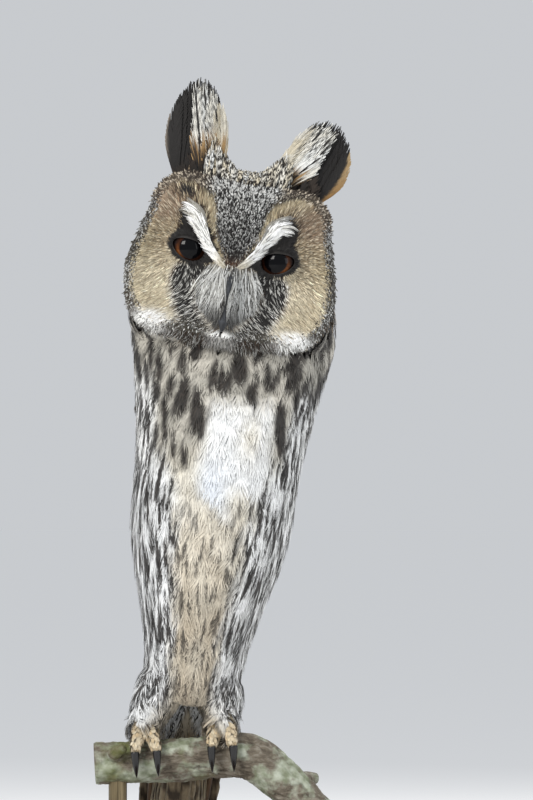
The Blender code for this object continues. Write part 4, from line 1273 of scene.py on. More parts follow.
def brow(coat, side, locks=84, hairs=11):
    """One brow, in locks of hairs that start along its middle line and run on up and out."""

    def by_lock(values):
        return np.repeat(values, hairs)

    stations = BROWS[side]
    outside = OUTSIDE[side]
    t = np.linspace(0, 1, 8)
    start = by_lock(np.linspace(0.0, 0.80, locks) + spread(-0.02, 0.02, locks))
    start = start + spread(-0.04, 0.04, len(start))
    place = by_lock(spread(-1.0, 1.0, locks))
    run = by_lock(spread(0.16, 0.30, locks)) + spread(-0.07, 0.07, len(start))
    curl = by_lock(spread(0.3, 1.0, locks))
    height = by_lock(spread(-0.4, 0.7, locks))
    shade = by_lock(rng.normal(0, 0.12, locks))
    within = rng.normal(0, 0.17, len(start))
    at = start[:, None] + run[:, None] * t
    clipped = np.clip(at, 0, 1)
    line = through(stations, clipped)
    inner = np.clip(at, 0.02, 0.98)
    ahead = unit(through(stations, inner + 0.02) - through(stations, inner - 0.02))
    fan = place[:, None] * (0.75 + 0.25 * t) + within[:, None] * (1 - 0.6 * t)
    fan = fan * curve(BROW_WIDTH, clipped) * (1 + 0.25 * t**2)
    fan = fan - outside * curl[:, None] * 1.7 * t**2.2
    beyond = np.clip(at - 1, 0, None) * 22
    us = line[..., 0] - ahead[..., 1] * fan + ahead[..., 0] * beyond
    vs = line[..., 1] + ahead[..., 0] * fan + ahead[..., 1] * beyond - beyond**2 * 0.08
    lift = curve([(0, -0.9), (0.35, 0.3), (1, 0.5)], t) + height[:, None] * np.sin(math.pi * t**0.7)
    each = (len(us), 1)
    centres = face(us, vs, lift + rng.normal(0, 0.12, each))
    halves = 0.17 * curve([(0, 0.6), (0.5, 1), (1, 0.12)], t) * spread(0.7, 1.3, each)
    frayed = outside * place[:, None] * ramp(0.35, 0.75, at)
    coat.strips(centres, face_normal(us, vs), halves, brow_colours(at, t, frayed, shade))


def brow_coat():
    """The long silky white feathers of the brows, up from the bill and out over the eyes."""
    coat = Coat("coat_brows")
    for side in BROWS:
        brow(coat, side)
    return coat.build(PLUMAGE, "plumage_face")


def bristles(coat, us, vs, dull=0.0):
    """Bristles along lines of u and v, lying over the face and the bill."""
    t = np.linspace(0, 1, BRISTLE_ROWS)
    each = (len(us), 1)
    lift = curve([(0, -0.8), (0.3, 0.6), (1, 1.1)], t) + spread(-0.5, 0.8, each)
    centres = from_head(together(us, vs, np.maximum(face_w(us, vs), bill_w(us, vs)) + lift))
    halves = 0.18 * curve([(0, 0.7), (0.5, 1), (1, 0.1)], t) * spread(0.7, 1.3, each)
    shade = spread(0, 1, each)
    low = ramp(-17, -31, vs) * ramp(13, 4, np.abs(us))
    colours = mix(SILK, GREY, 0.35 + 0.65 * ramp(0.15, 0.7, shade))
    colours = mix(colours, SOOT, 0.8 * (shade > 0.68 - 0.4 * dull) + 0.78 * low)
    colours = mix(colours, CREAM, 0.35 * ramp(0.3, 0.0, t) * (1 - dull))
    uneven = np.exp(rng.normal(0, 0.15, (len(us), 1, 1)))
    coat.strips(centres, face_normal(us, vs), halves, np.clip(colours * uneven, 0.002, 0.95))


def bristle_fan(coat, outside):
    """The long bristles on one side of the bill, off its ridge and held inside the fan."""
    count = 1900
    t = np.linspace(0, 1, BRISTLE_ROWS)
    across = spread(0, 1, count) ** 0.8
    u0 = np.minimum(1.2 + 9.0 * across + rng.normal(0, 1.0, count), 10.3)
    v0 = -4.4 - 2.0 * across + rng.normal(0, 1.2, count) - spread(0, 15, count) * (1 - 0.2 * across)
    length = 14.5 - 3.5 * across + spread(-3.5, 2.0, count)
    heading = -math.pi / 2 + 0.04 + 0.64 * across + rng.normal(0, 0.09, count)
    bend = -0.42 * across[:, None] * t + rng.normal(0, 0.2, (count, 1)) * t
    way = heading[:, None] + bend
    loose = spread(0.72, 1.12, count)
    # Those that reach out of the fan are made shorter, again and again
    for _ in range(7):
        step = (length / (BRISTLE_ROWS - 1))[:, None]
        us = u0[:, None] + np.cumsum(np.cos(way) * step, axis=1) - np.cos(way[:, :1]) * step
        vs = v0[:, None] + np.cumsum(np.sin(way) * step, axis=1) - np.sin(way[:, :1]) * step
        length = length * np.where(us[:, -1] > curve(FAN, vs[:, -1]) * loose, 0.84, 1.0)
    vs = np.maximum(vs, -34.5)
    over = curve(RIDGE, vs) * ramp(-6, -9, vs) * spread(0.5, 1.25, (count, 1))
    bristles(coat, outside * np.maximum(us, over + 0.3 * across[:, None]), vs)


def bristle_coat():
    """The bristles that fan out beside the bill, and the short ones over its root."""
    coat = Coat("coat_bristles")
    for outside in OUTSIDE.values():
        bristle_fan(coat, outside)
    count = 80
    u0 = spread(-3.0, 3.0, count)
    v0 = -4.4 - spread(0, 3.6, count)
    run = spread(2.6, 5.0, count)[:, None] * np.linspace(0, 1, BRISTLE_ROWS)
    bristles(coat, u0[:, None] * (1 + 0.02 * run), v0[:, None] - run, 0.7)
    return coat.build(PLUMAGE, "plumage_face")


def bill_w(u, v):
    """w of the outside of the upper bill at u and v."""
    w, wide, high = parts(through(BILL[::-1], v))
    inside = np.clip(1 - (u / wide) ** 2, 0, None)
    return np.where((v < -7) & (v > -33) & (inside > 0), w + high * np.sqrt(inside), FAR_BACK)


# ------------------------------------------------------------------ eyes, lids and bill


def eye_colours(du, dv):
    """Colours of an eye at places outward and up from its middle: pupil, iris in painted shade but for a
    painted glow of light at its lower outer side, and the dark round them.
    """
    du = du - GAZE[0]
    dv = dv - GAZE[1]
    off = np.hypot(du, dv)
    angle = np.arctan2(dv, du)
    fibre = 0.5 + 0.5 * np.sin(angle * 41 + 3 * np.sin(angle * 7)) * np.sin(angle * 23)
    iris = mix(tone(112, 64, 26), tone(66, 36, 17), fibre * 0.8)
    # Painted shade over the upper and inner iris; its lower outer side is left bright as a painted glow of
    # light
    painted_iris_shade = np.clip(0.9 * ramp(-2.5, 2.0, dv) + ramp(4.2, 0.2, du), 0, 0.97)
    iris = mix(iris, tone(40, 20, 12), painted_iris_shade)
    rings = 0.8 * ramp(IRIS - 1.2, IRIS, off) + 0.4 * ramp(PUPIL + 0.8, PUPIL, off)
    iris = mix(iris, tone(26, 14, 10), rings)
    colour = mix(tone(5, 5, 7), iris, ramp(PUPIL - 0.15, PUPIL + 0.15, off))
    return mix(colour, tone(12, 9, 9), ramp(IRIS - 0.2, IRIS + 0.4, off))


def eyes():
    """Two eyeballs, each with a bulging cornea over a dark pupil and a brown iris."""
    polar = np.linspace(0.0001, math.pi - 0.0001, 80)[:, None]
    turn = turns(96)[None, :]
    radius = EYE_RADIUS * (1 + 0.035 * ramp(0.75, 0.35, polar)) - 0.3
    across = radius * np.sin(polar)
    local = together(across * np.cos(turn), across * np.sin(turn), radius * np.cos(polar))
    for side, (u, v) in EYES.items():
        colour = eye_colours(local[..., 0] * OUTSIDE[side], local[..., 1])
        colour = np.where((local[..., 2] > 0)[..., None], colour, tone(12, 9, 9))
        rings = from_head(local + np.array([u, v, EYE_DEPTH]))
        obj = piece("owl_eye_" + side, capped(rings), EYE, "eye", "eye_" + side)
        paint(obj, np.concatenate([colour.reshape(-1, 3), colour[0, :1], colour[-1, :1]]))


def lid_loop(side, share):
    """A loop of the lids at a share of the way from the bare opening to the outer edge."""
    angles = turns(96)
    wide, high = (between(ends, share) for ends in zip(LID_OPENING, LID_EDGE))
    across = wide * np.cos(angles)
    rise = np.sin(angles)
    level = np.where(rise > 0, 0.80 * np.abs(rise) ** 0.75, -np.abs(rise))
    up = high * (rise * share + level * (1 - share)) * (1 - 0.2 * np.cos(angles) * (1 - share))
    du = across * math.cos(LID_TILT) - up * math.sin(LID_TILT)
    dv = across * math.sin(LID_TILT) + up * math.cos(LID_TILT)
    near = np.minimum(np.hypot(du, dv), EYE_RADIUS - 0.6)
    ball = EYE_DEPTH + np.sqrt(EYE_RADIUS**2 - near**2)
    u = EYES[side][0] + OUTSIDE[side] * du
    v = EYES[side][1] + dv
    skin_w = face_w(u, v) - FACE_COAT + 0.3
    on_skin = ramp(0.35, 0.9, share)
    w = ball * (1 - on_skin) + skin_w * on_skin
    if share > 0.3:
        w = np.maximum(w, skin_w - 0.4)
    return together(u, v, w + 0.6 * math.sin(math.pi * min(1.0, 0.25 + share)) * (1 - share) ** 0.5)


def lids():
    """The bare dark rims of the eyes, thick at the edge and pulled over the ball."""
    for side in EYES:
        loops = [lid_loop(side, share) for share in np.linspace(0, 1, 9)]
        turned_in = [loops[0] - np.array([0, 0, depth]) for depth in (2.4, 0.35)]
        rings = from_head(np.array(turned_in + loops))
        faces = grid_faces(*rings.shape[:2], closed=True)[:, :: OUTSIDE[side]]
        piece("owl_lids_" + side, (rings, faces), LID, "plumage_face")


def horn_rings(stations, sides, rows, notch=0.0):
    """Rings of a tapering curved body in the head's middle plane."""
    along = np.linspace(0, 1, len(stations))
    places = through(np.column_stack([along, stations]), np.linspace(0, 1, rows))
    tangent = unit(np.gradient(places[:, :2], axis=0))
    turn = turns(sides)
    v, w, wide, high = (column[:, None] for column in places.T)
    ridge = np.sin(turn)
    top = np.clip(ridge, 0, 1)
    u = wide * np.cos(turn) * (1 - 0.18 * top**2)
    lift = high * ridge * (1 + notch * top**6)
    return from_head(together(u, v - tangent[:, 1:] * lift, w + tangent[:, :1] * lift))


def bill():
    """The hooked bill, ridged along its top, with its nostrils, and the lower bill in its shadow."""
    points, faces = capped(horn_rings(BILL, 40, 48, notch=0.12))
    local = to_head(points)
    v0, w0, size = NOSTRIL
    for sign in (1, -1):
        gap = np.sqrt((local[:, 1] - v0) ** 2 + ((local[:, 2] - w0) / 1.3) ** 2)
        side = (np.sign(local[:, 0]) == sign) & (np.abs(local[:, 0]) > 1)
        local[:, 0] -= sign * 1.1 * np.exp(-((gap / size) ** 2)) * side
    piece("owl_bill_upper", (from_head(local), faces), HORN, "horn", "bill_upper")
    piece("owl_bill_lower", capped(horn_rings(LOWER_BILL, 28, 24)), HORN, "horn", "bill_lower")


# ------------------------------------------------------------------ markings of the body


def streak_field(points, gap, wide, period, fill, seed, soft=0.25):
    """How dark the streaks of the body are at world places: wavy columns of drops that are widest below."""
    theta, z = round_hull(points)
    table = np.random.default_rng(seed).uniform(0, 1, (64, 4))
    across = theta * MM_PER_DEGREE
    most = np.zeros_like(across)
    for shift in (0.0, 0.5):
        column = np.round(across / gap + shift).astype(int)
        bend, aside, slide, longer = parts(table[(column * 2 + int(shift * 2)) % 64])
        middle = (column - shift) * gap + gap * (0.22 * np.sin(z / 8 + 6.3 * bend) + 0.3 * (aside - 0.5))
        run = (-z / (period * (0.8 + 0.5 * longer)) + slide + 0.5 * shift) % 1
        drop = np.clip(run / fill, 0, 1)
        size = wide * np.clip(np.sin(math.pi * drop**1.4), 0, None) ** 0.6 * (0.6 + 0.6 * longer)
        most = np.maximum(most, ramp(size + soft, size - soft, np.abs(across - middle)) * (run < fill))
    return most


def body_areas(x, z, side, ripple, broad):
    """Shares of the front's areas: the white patch, the flanks, the upper breast and the belly."""
    off_patch = np.abs(x - 7.0 - 0.04 * (z - 120))
    patch = ramp(18, 9.5, off_patch) * ramp(152, 138, z) * ramp(92, 116, z + 9 * broad)
    flank = ramp(22, 44, side + ripple + 6 * ramp(110, 80, z)) * ramp(128, 108, z)
    flank = np.maximum(flank, ramp(44, 58, side) * ramp(160, 144, z)) * ramp(120, 96, side)
    upper = ramp(112, 132, z) * (1 - patch) * (1 - flank)
    belly = ramp(120, 92, z + 9 * broad) * (1 - flank) * (1 - patch)
    return patch, flank, upper, belly


def front_ground(x, z, broad, patch, flank, upper, belly):
    """Ground colour of neck, breast, belly and flanks, from the shares of their areas."""
    ground = mix(CREAM, SILK, 0.5 + 0.35 * broad + 0.5 * flank)
    ground = mix(ground, BUFF, upper * (0.16 + 0.22 * broad))
    ground = mix(ground, GREY, np.clip(upper * (0.62 - 0.34 * broad), 0, 1) * 0.85)
    # Painted shade: a grey-blue cast over the white patch, strongest on its lower part toward the owl's
    # right, less on the flanks
    painted_blue_shade = np.clip(0.30 + 0.6 * ramp(130, 104, z) * ramp(14, -2, x), 0, 0.9) * (1 - 0.6 * flank)
    clear = mix(mix(WHITE, SHADED_WHITE, painted_blue_shade), CREAM, hills(x, z, (0.5, 13, 132, 5, 10)))
    ground = mix(ground, clear, patch + 0.95 * flank)
    tan = 0.18 + 0.25 * ramp(90, 50, z) + 0.15 * broad
    soft = mix(mix(CREAM, SILK, 0.45), mix(BUFF, OCHRE, 0.12), tan)
    soft = soft * (0.95 - 0.12 * ramp(90, 60, z))[..., None]
    return mix(ground, soft, belly * 0.9)


def front_marks(points, off_middle, patch, flank, upper, belly):
    """How dark the front's marks are: drops above, thin lines on the flanks, and specks on the belly."""
    drops = streak_field(points, 7.8, 3.15 * upper**0.5, 23, 0.68, 5, 1.3) * ramp(0, 0.2, upper)
    lines = streak_field(points, 4.1, 1.16 * flank**0.5, 24, 0.74, 6, 0.14) * ramp(0, 0.2, flank)
    size = 0.6 + 0.5 * ramp(3, 22, off_middle)
    specks = streak_field(points, 5.2, size, 17, 0.58, 7, 0.2) * belly * 0.85
    return np.maximum.reduce([drops, lines, specks]) * (1 - ramp(0.2, 0.6, patch))


def body_tones(points, jitter=0.0):
    """Ground colour, streaks and fine bars of neck, breast, belly and back at world places."""
    theta, z = round_hull(points)
    z = z + jitter
    side = np.abs(theta)
    x = to_body(points)[..., 0]
    ripple = 4.5 * np.sin(z * 0.23 + 1.3 * np.sin(theta * 0.4)) * np.sin(z * 0.07 + 2)
    broad = np.sin(theta * 0.11 + 2.2 * np.sin(z * 0.07)) * np.sin(z * 0.13 + 1.7 * np.sin(theta * 0.06))
    areas = body_areas(x, z, side, ripple, broad)
    upper = areas[2]
    ground = front_ground(x, z, broad, *areas)
    shifted = points + body_way(0, 0, 1) * np.asarray(jitter)[..., None]
    marks = front_marks(shifted, side + ripple, *areas)
    front = ramp(116, 88, side)
    nape = 1 - front
    high = ramp(146, 162, z)
    mantle = mix(mix(BUFF, GREY, 0.55 + 0.4 * broad) * 0.72, mix(OCHRE, GREY, 0.45) * 0.62, 0.8 * high)
    marks = marks * front + nape * streak_field(shifted, 6.2, 2.1 + 0.7 * high, 15, 0.8, 8)
    return mix(ground, mantle, nape), marks, nape * 0.9 + 0.08 * upper


def fine_bars(s, t, barb, phase):
    """How dark the fine bars across a feather are."""
    return ramp(0.1, 0.7, np.sin(s * 34 + phase + 1.3 * barb + 4 * np.abs(t)))


def body_style(count):
    """The colours of barbs on neck, trunk and legs, from where they are on the body."""
    even = rng.normal(0, 0.06, (count, 1, 1, 1))
    phase = spread(0, 7, (count, 1, 1, 1))
    slide = rng.normal(0, 1.1, (count, 1, 1, 1))

    def style(points, s, t, barb):
        ground, marks, bars = body_tones(points, slide + 1.5 * barb)
        colour = mix(ground, GREY, 0.16 * ramp(0.35, 0.0, s))
        dark = np.maximum(marks, 0.55 * (bars * fine_bars(s, t, barb, phase)))
        colour = mix(colour, mix(SOOT, UMBER, 0.12 + 0.12 * barb), np.clip(dark, 0, 1) * 0.97)
        return lit(colour, even + 0.10 * barb)

    return style


def streaked(ground, width, bars, dark=SOOT):
    """A colour function of feathers with a dark middle streak that widens to the tip, and fine bars."""
    count = len(ground)
    phase = spread(0, 7, (count, 1, 1, 1))
    even = rng.normal(0, 0.07, (count, 1, 1, 1))
    ground = by_feather(ground)
    width = by_feather(width)
    bars = by_feather(bars)

    def style(points, s, t, barb):
        edge = width * (0.55 + 0.9 * ramp(0.2, 0.75, s)) * ramp(1.15, 0.92, s) * (1 + 0.28 * barb)
        streak = ramp(edge * 1.25 + 0.02, edge * 0.7, np.abs(t)) * (width > 0)
        bar = bars * fine_bars(s, t, barb, phase) * (1 - streak) * 0.75
        colour = mix(mix(ground, GREY, ramp(0.35, 0.0, s) * 0.6), dark, streak + bar * 0.6)
        return lit(colour, even + 0.09 * barb)

    return style


# ------------------------------------------------------------------ body plumage


def down_body(places):
    """The lie of the body's feathers, straight down the trunk."""
    return np.broadcast_to(body_way(0, 0, -1), places.shape)


def down_head(places):
    """The lie over crown, nape and sides of the head: back from the rim, then down."""
    u, v, w = parts(to_head(places))
    back = ramp(12, -28, w)
    top = ramp(0, 26, v)
    way = head_way(0, 0, -1) * (top * (1 - back) + 0.25)[:, None]
    way = way + head_way(0, -1, 0) * (0.25 + 0.95 * (1 - top) + 1.0 * back)[:, None]
    return way + head_way(1, 0, 0) * (0.15 * np.sign(u) * (1 - back))[:, None]


def lifted(shafts, normals, low, high, curve=0.75):
    """Shafts raised from the skin, from low at the root to high at the tip."""
    t = np.linspace(0, 1, shafts.shape[1]) ** curve
    low = np.asarray(low, float).reshape(-1, 1)
    high = np.asarray(high, float).reshape(-1, 1)
    return shafts + normals * (low + (high - low) * t)[..., None]


def wing_edges(z):
    """Angles of a wing's front and back edge at a height."""
    return curve(WING_FRONT, z), curve(WING_BACK, z)


def under_wing(theta, z, margin):
    """Whether places on the hull lie well under a wing."""
    side = np.abs(theta)
    front, back = wing_edges(z)
    return (side > front + margin) & (side < back - margin) & (z < 140)


def below_head(places):
    """Whether places belong to the neck's plumage: under the chin, and below a wavy line behind."""
    u, v, w = parts(to_head(places))
    line = -20 + 4.5 * np.sin(u * 0.33) + 3.5 * np.sin(u * 0.83 + 1)
    return (v < -34) | ((w < 8) & (v < line))


def body_coat(skin_surface):
    """Feathers of neck, breast, belly, flanks and mantle."""

    def region(places):
        theta, z = round_hull(places)
        return (z > 14) & (z < 186) & below_head(places) & ~under_wing(theta, z, 9)

    roots = skin_surface.roots(region, lambda places: np.full(len(places), 2.7))
    roots = roots[np.argsort(to_body(roots)[:, 2])]
    theta, z = round_hull(roots)
    side = np.abs(theta)
    flank = ramp(34, 52, side) * ramp(130, 112, z)
    count = len(roots)
    lengths = 14 + 4 * ramp(160, 130, z) + 7 * flank + spread(-2, 2, count)
    lengths = np.where(z < 40, lengths * 0.8, lengths)
    half = 3.9 + 0.8 * ramp(140, 120, z) - 1.3 * flank + spread(-0.6, 0.6, count)
    shafts, normals = trace(skin_surface, roots, down_body, lengths, 6, rng.normal(0, 0.10, count))
    high = 3.7 + spread(-0.35, 0.5, count) + 1.2 * flank * ramp(52, 62, side)
    shafts = lifted(shafts, normals, 0.4, high, 0.6)
    front = side < 95
    groups = [
        ("coat_neck", z > 156, "plumage_breast", "neck"),
        ("coat_breast", (z <= 156) & (z > 126) & front, "plumage_breast", "torso"),
        ("coat_chest", (z <= 126) & (z > 92) & front, "plumage_breast"),
        ("coat_belly", (z <= 92) & (z > 56) & front, "plumage_breast"),
        ("coat_vent", (z <= 56) & front, "plumage_breast"),
        ("coat_mantle", (z <= 156) & ~front, "plumage_back"),
    ]
    kind = {"barbs": 13, "width": 0.31, "loose": 0.4, "soft": 1.0}
    for name, held, slot, *replaced in groups:
        coat = Coat(name)
        barbed(coat, shafts[held], normals[held], half[held], body_style(int(held.sum())), **kind)
        coat.build(PLUMAGE, slot, *replaced)


def crown_coat(skin_surface):
    """Feathers of crown, sides and nape of the head."""

    def region(places):
        u, v, w = parts(to_head(places))
        z = to_body(places)[:, 2]
        return ~in_face(u, v, w, 0.955) & (v > -40) & (z > 168) & ~below_head(places)

    def gap(places):
        _, v, w = parts(to_head(places))
        return (2.0 + 1.6 * ramp(12, -20, w)) * (1 - 0.4 * ramp(14, 22, v) * ramp(6, 12, w))

    roots = skin_surface.roots(region, gap)
    count = len(roots)
    u, v, w = parts(to_head(roots))
    back = ramp(14, -12, w)
    top = ramp(14, 22, v) * ramp(6, 12, w)
    lengths = 4.6 + 10 * back + 1.8 * top + spread(-0.8, 0.8, count)
    half = 1.3 + 2.8 * back - 0.2 * top
    shafts, normals = trace(skin_surface, roots, down_head, lengths, 6, rng.normal(0, 0.12, count))
    high = 1.1 + 1.3 * back + 1.2 * top + spread(-0.3, 0.5, count)
    shafts = lifted(shafts, normals, -0.4 * (1 - back) * (1 - top), high)
    ground = mix(mix(GREY, BUFF, spread(0.1, 0.9, count)), OCHRE, 0.45 * back * spread(0, 1, count))
    ground = mix(ground, SILK, 0.7 * (1 - back) * spread(0, 1, count))
    coat = Coat("coat_crown")
    style = streaked(ground, spread(0.30, 0.55, count), np.full(count, 0.9))
    barbed(coat, shafts, normals, half, style, barbs=12, width=0.33, loose=0.3, soft=0.6)
    return coat.build(PLUMAGE, "plumage_back")


def leg_coat(skin_surface):
    """Short soft feathers of legs and toes."""

    def region(places):
        z = to_body(places)[:, 2]
        return (z < 19) & (places[:, 1] < 19) & (places[:, 2] > 86)

    def lie(places):
        away = np.sign(places[:, 1]) * 0.9 * ramp(122, 108, places[:, 2])
        return together(0.0, away, -1.0)

    roots = skin_surface.roots(region, lambda places: 1.2 + 0.6 * ramp(110, 120, places[:, 2]))
    count = len(roots)
    high = ramp(108, 121, roots[:, 2])
    lengths = 3.4 + 6.0 * high + spread(-0.6, 0.6, count)
    shafts, normals = trace(skin_surface, roots, lie, lengths, 4, rng.normal(0, 0.2, count))
    shafts = lifted(shafts, normals, -0.1, 0.8 + 0.7 * high)
    ground = mix(BUFF, CREAM, spread(0.3, 1.0, count))
    ground = mix(ground, OCHRE, 0.2 * spread(0, 1, count))
    coat = Coat("coat_legs")
    style = streaked(ground, np.zeros(count), 0.25 * (spread(0, 1, count) > 0.7))
    barbed(coat, shafts, normals, 0.8 + 1.2 * high, style, barbs=6, rows=3, width=0.3, loose=0.4, soft=0.8)
    return coat.build(PLUMAGE, "plumage_leg", "leg_left", "leg_right")


# ------------------------------------------------------------------ firm vanes


PRIMARY_GREY = mix(BUFF, GREY, 0.35) * 0.68
SECONDARY_GREY = mix(BUFF, GREY, 0.55) * 0.62
# Primaries and secondaries: how many, and the height of their roots; from the front one to the back one, the
# angles of the roots, and the heights and angles of the tips; half width, how far off they stand, and tilt;
# then their colour, the gap and width of its bars, and how much fine peppering it has
WING_TIERS = [
    (10, 34, (120, 160), (-74, -28), (150, 165), 4.4, 2.4, 0.20, (PRIMARY_GREY, 11.0, 0.0, 0.7)),
    (11, 84, (110, 158), (18, -14), (121, 158), 4.8, 3.2, 0.14, (SECONDARY_GREY, 8.0, 0.1, 0.9)),
]


def sink(z):
    """How deep a wing lies in the plumage of the body, shallow at the shoulder."""
    return WING_SINK * (1 - SHOULDER_RISE * ramp(SHOULDER_FROM, NECK_BOTTOM, z))


def lift_of(z, share):
    """How thick a wing's core is at a height and a share of the way from its front edge to its back edge."""
    return 0.8 + 1.0 * (4 * share * (1 - share)) ** 0.6 * ramp(WING_TIP - 10, 40, z) * ramp(165, 120, z)


def wing_share(theta, z):
    """How far back on a wing an angle and a height are: 0 at its front edge, 1 at its back edge."""
    front, back = wing_edges(z)
    return np.clip((theta - front) / (back - front), 0, 1)


def wing_surface(sign):
    """The outside of a wing's core as a function of an angle, a height and an offset."""

    def surface(theta, z, offset=0.0):
        lift = lift_of(z, wing_share(theta, z))
        return hull(sign * theta, z, WING_GAP - sink(z) + lift + offset)

    return surface


def tail_surface(theta, z, offset=0.0):
    """What the tail's feathers follow, as a function of an angle, a height and an offset."""
    return hull(theta, z, offset - TAIL_SINK)


def blade(s, blunt=0.8):
    """Outline of a firm feather, narrow at the root and rounded at the tip."""
    tip = np.sqrt(np.clip(1 - (np.clip(s - blunt, 0, 1) / (1 - blunt)) ** 2, 0, 1))
    return (0.5 + 0.5 * ramp(0, 0.35, s)) * np.maximum(tip, 0.05)


def slab(coat, top, under, tints, uvs):
    """A closed sheet between an outer and an inner grid of points of the same rows and columns."""
    rows, columns, _ = top.shape
    loop = np.concatenate([top, under[:, ::-1]], axis=1)
    around = 2 * columns
    ends = []
    for first, way in ((0, 1), ((rows - 1) * around, -1)):
        last = first + around - 1
        for k in range(columns - 1):
            ends.append((first + k, last - k, last - k - 1, first + k + 1)[::way])
    quads = np.concatenate([grid_faces(rows, around, closed=True), np.array(ends)])
    coat.put(loop, quads, tints.reshape(-1, 3), uvs)


def vane(coat, surface, path, half, tilt, pattern, place, blunt=0.8):
    """One firm closed feather that follows a surface along a path of angle, height and offset."""
    rows = len(path)
    s = np.linspace(0, 1, rows)
    theta, z, offset = path.T
    centre = surface(theta, z, offset)
    normal = unit(surface(theta, z, offset + 1) - centre)
    along = unit(np.gradient(centre, axis=0))
    across = unit(np.cross(normal, along))
    normal = np.cross(along, across)
    turned = across * math.cos(tilt) + normal * math.sin(tilt)
    normal = normal * math.cos(tilt) - across * math.sin(tilt)
    t = np.linspace(-1, 1, 9)
    ragged = 1 + 0.05 * rng.normal(0, 1, (rows, 1)) * (np.abs(t) > 0.9)
    reach = half * blade(s, blunt)[:, None] * t * ragged
    slack = 0.10 * half * (1 - np.abs(t)) - 0.05 * half
    top = centre[:, None] + turned[:, None] * reach[..., None] + normal[:, None] * slack[None, :, None]
    top = top + along[:, None] * (-0.5 * (t**2) * half * ramp(0.75, 1.0, s)[:, None] * 0.6)[..., None]
    under = top - normal[:, None] * 0.28 * (1.05 - t[None, :, None] ** 2 * 0.7)
    length = np.linalg.norm(np.diff(centre, axis=0), axis=-1).sum()
    colours = pattern(s[:, None] + 0 * t, t + 0 * s[:, None], length)
    # The underside takes the top's colours at 0.8: painted shade under the feather
    tints = np.concatenate([colours, colours[:, ::-1] * 0.8], axis=1)
    across_uv = np.concatenate([t, t[::-1] * 0.9])
    uvs = place + together(across_uv, s[:, None] * 2 - 1) * 0.5 * VANE_PATCH
    slab(coat, top, under, tints, uvs)


def barred(ground, bar, wide, fine):
    """Pattern of a feather crossed by dark bars, with a dark shaft and fine peppering."""

    def pattern(s, t, length):
        phase = rng.uniform(0, 6.28)
        wave = s * length / bar * 2 * math.pi + phase + 1.1 * np.abs(t) ** 1.5 + 0.5 * np.sin(9 * t + phase)
        bars = ramp(wide, wide + 0.35, np.sin(wave))
        pepper = ramp(0.3, 1.6, rng.normal(0, 1, s.shape)) * fine
        shaft = ramp(0.16, 0.05, np.abs(t)) * 0.7
        colour = mix(ground, UMBER * 0.8, np.clip(bars + pepper * 0.6 + shaft, 0, 1) * 0.9)
        colour = mix(colour, CREAM, ramp(0.86, 1.0, np.abs(t)) * 0.35)
        return colour * math.exp(rng.normal(0, 0.08))

    return pattern


def wing_core(coat, surface):
    """The body of the folded wing, which the feathers lie on."""
    rows = 70
    columns = 22
    z = np.linspace(WING_TIP + 14, 143, rows)[:, None]
    front, back = wing_edges(z)
    theta = front + (back - front) * np.linspace(0.02, 0.98, columns)
    top = surface(theta, z + 0 * theta, -0.5)
    under = surface(theta, z + 0 * theta, -2.6)
    shade = np.broadcast_to(mix(UMBER, BROWN, 0.5), (rows, 2 * columns, 3))
    square = together(np.linspace(0, 1, 2 * columns), np.linspace(0, 1, rows)[:, None])
    slab(coat, top, under, shade, 0.94 + 0.05 * square)


def covert_coat(coat, surface):
    """The soft feathers of shoulder and coverts in rows down the wing, streaked, barred and spotted."""
    rows = []
    for number, z in enumerate(np.arange(44, 147, 3.1)):
        front, back = wing_edges(z)
        many = max(4, int((back - front) * MM_PER_DEGREE * 1.25 / 3.4))
        share = (np.arange(many) + 0.5 * (number % 2) + spread(-0.3, 0.3, many)) / (many - 0.5)
        rows.append(np.column_stack([share, z + spread(-1.2, 1.2, many)]))
    share, z = np.concatenate(rows).T
    count = len(z)
    t = np.linspace(0, 1, 6)
    length = 12 + 9 * ramp(125, 60, z) + spread(-1.5, 1.5, count)
    level = z[:, None] - length[:, None] * t
    front, back = wing_edges(level)
    theta = front + (back - front) * np.clip(share, -0.03, 1.03)[:, None]
    theta = theta[:, :1] + (theta - theta[:, :1]) * (1 - 0.7 * ramp(95, 115, z))[:, None]
    calm = 1 - 0.75 * ramp(104, 124, z) * ramp(0.5, 0.15, share)
    stand = 0.4 + (calm * (2.3 + 0.8 * ramp(0.1, 0.5, share) + spread(-0.4, 0.5, count)))[:, None] * t**0.7
    shafts = surface(theta, level, stand - 0.8)
    normals = unit(surface(theta, level, stand) - shafts)
    ground = mix(GREY, BUFF, spread(0.2, 1.0, count))
    ground = mix(ground, OCHRE, 0.35 * spread(0, 1, count) * ramp(0.5, 0.0, share))
    shoulder = ramp(0.35, 0.6, share) * ramp(70, 95, z) * (spread(0, 1, count) > 0.55)
    ground = mix(ground * 0.85, SILK, 0.8 * shoulder)
    style = streaked(ground, spread(0.30, 0.50, count), np.full(count, 1.0), mix(SOOT, UMBER, 0.35))
    half = 3.0 + 1.5 * ramp(120, 70, z) + spread(-0.4, 0.4, count)
    barbed(coat, shafts, normals, half, style, barbs=14, rows=5, width=0.34, loose=0.3, soft=0.7)


def wing_path(theta, z, stand, half, tilt):
    """Angles, heights and lifts of a wing feather's middle line, close to the body at the front edge."""
    share = wing_share(theta, z)
    t = np.linspace(0, 1, len(z))
    edge = math.sin(tilt) * half * blade(t)
    close = 2.4 * ramp(0.3, 0.0, share)
    rise = curve([(0, -0.6), (0.33, 2.0), (0.67, 0.8 + 0.6 * stand), (1, stand)], t) - close
    return together(theta, z, np.maximum(rise, 0.75 + edge - lift_of(z, share) - close))


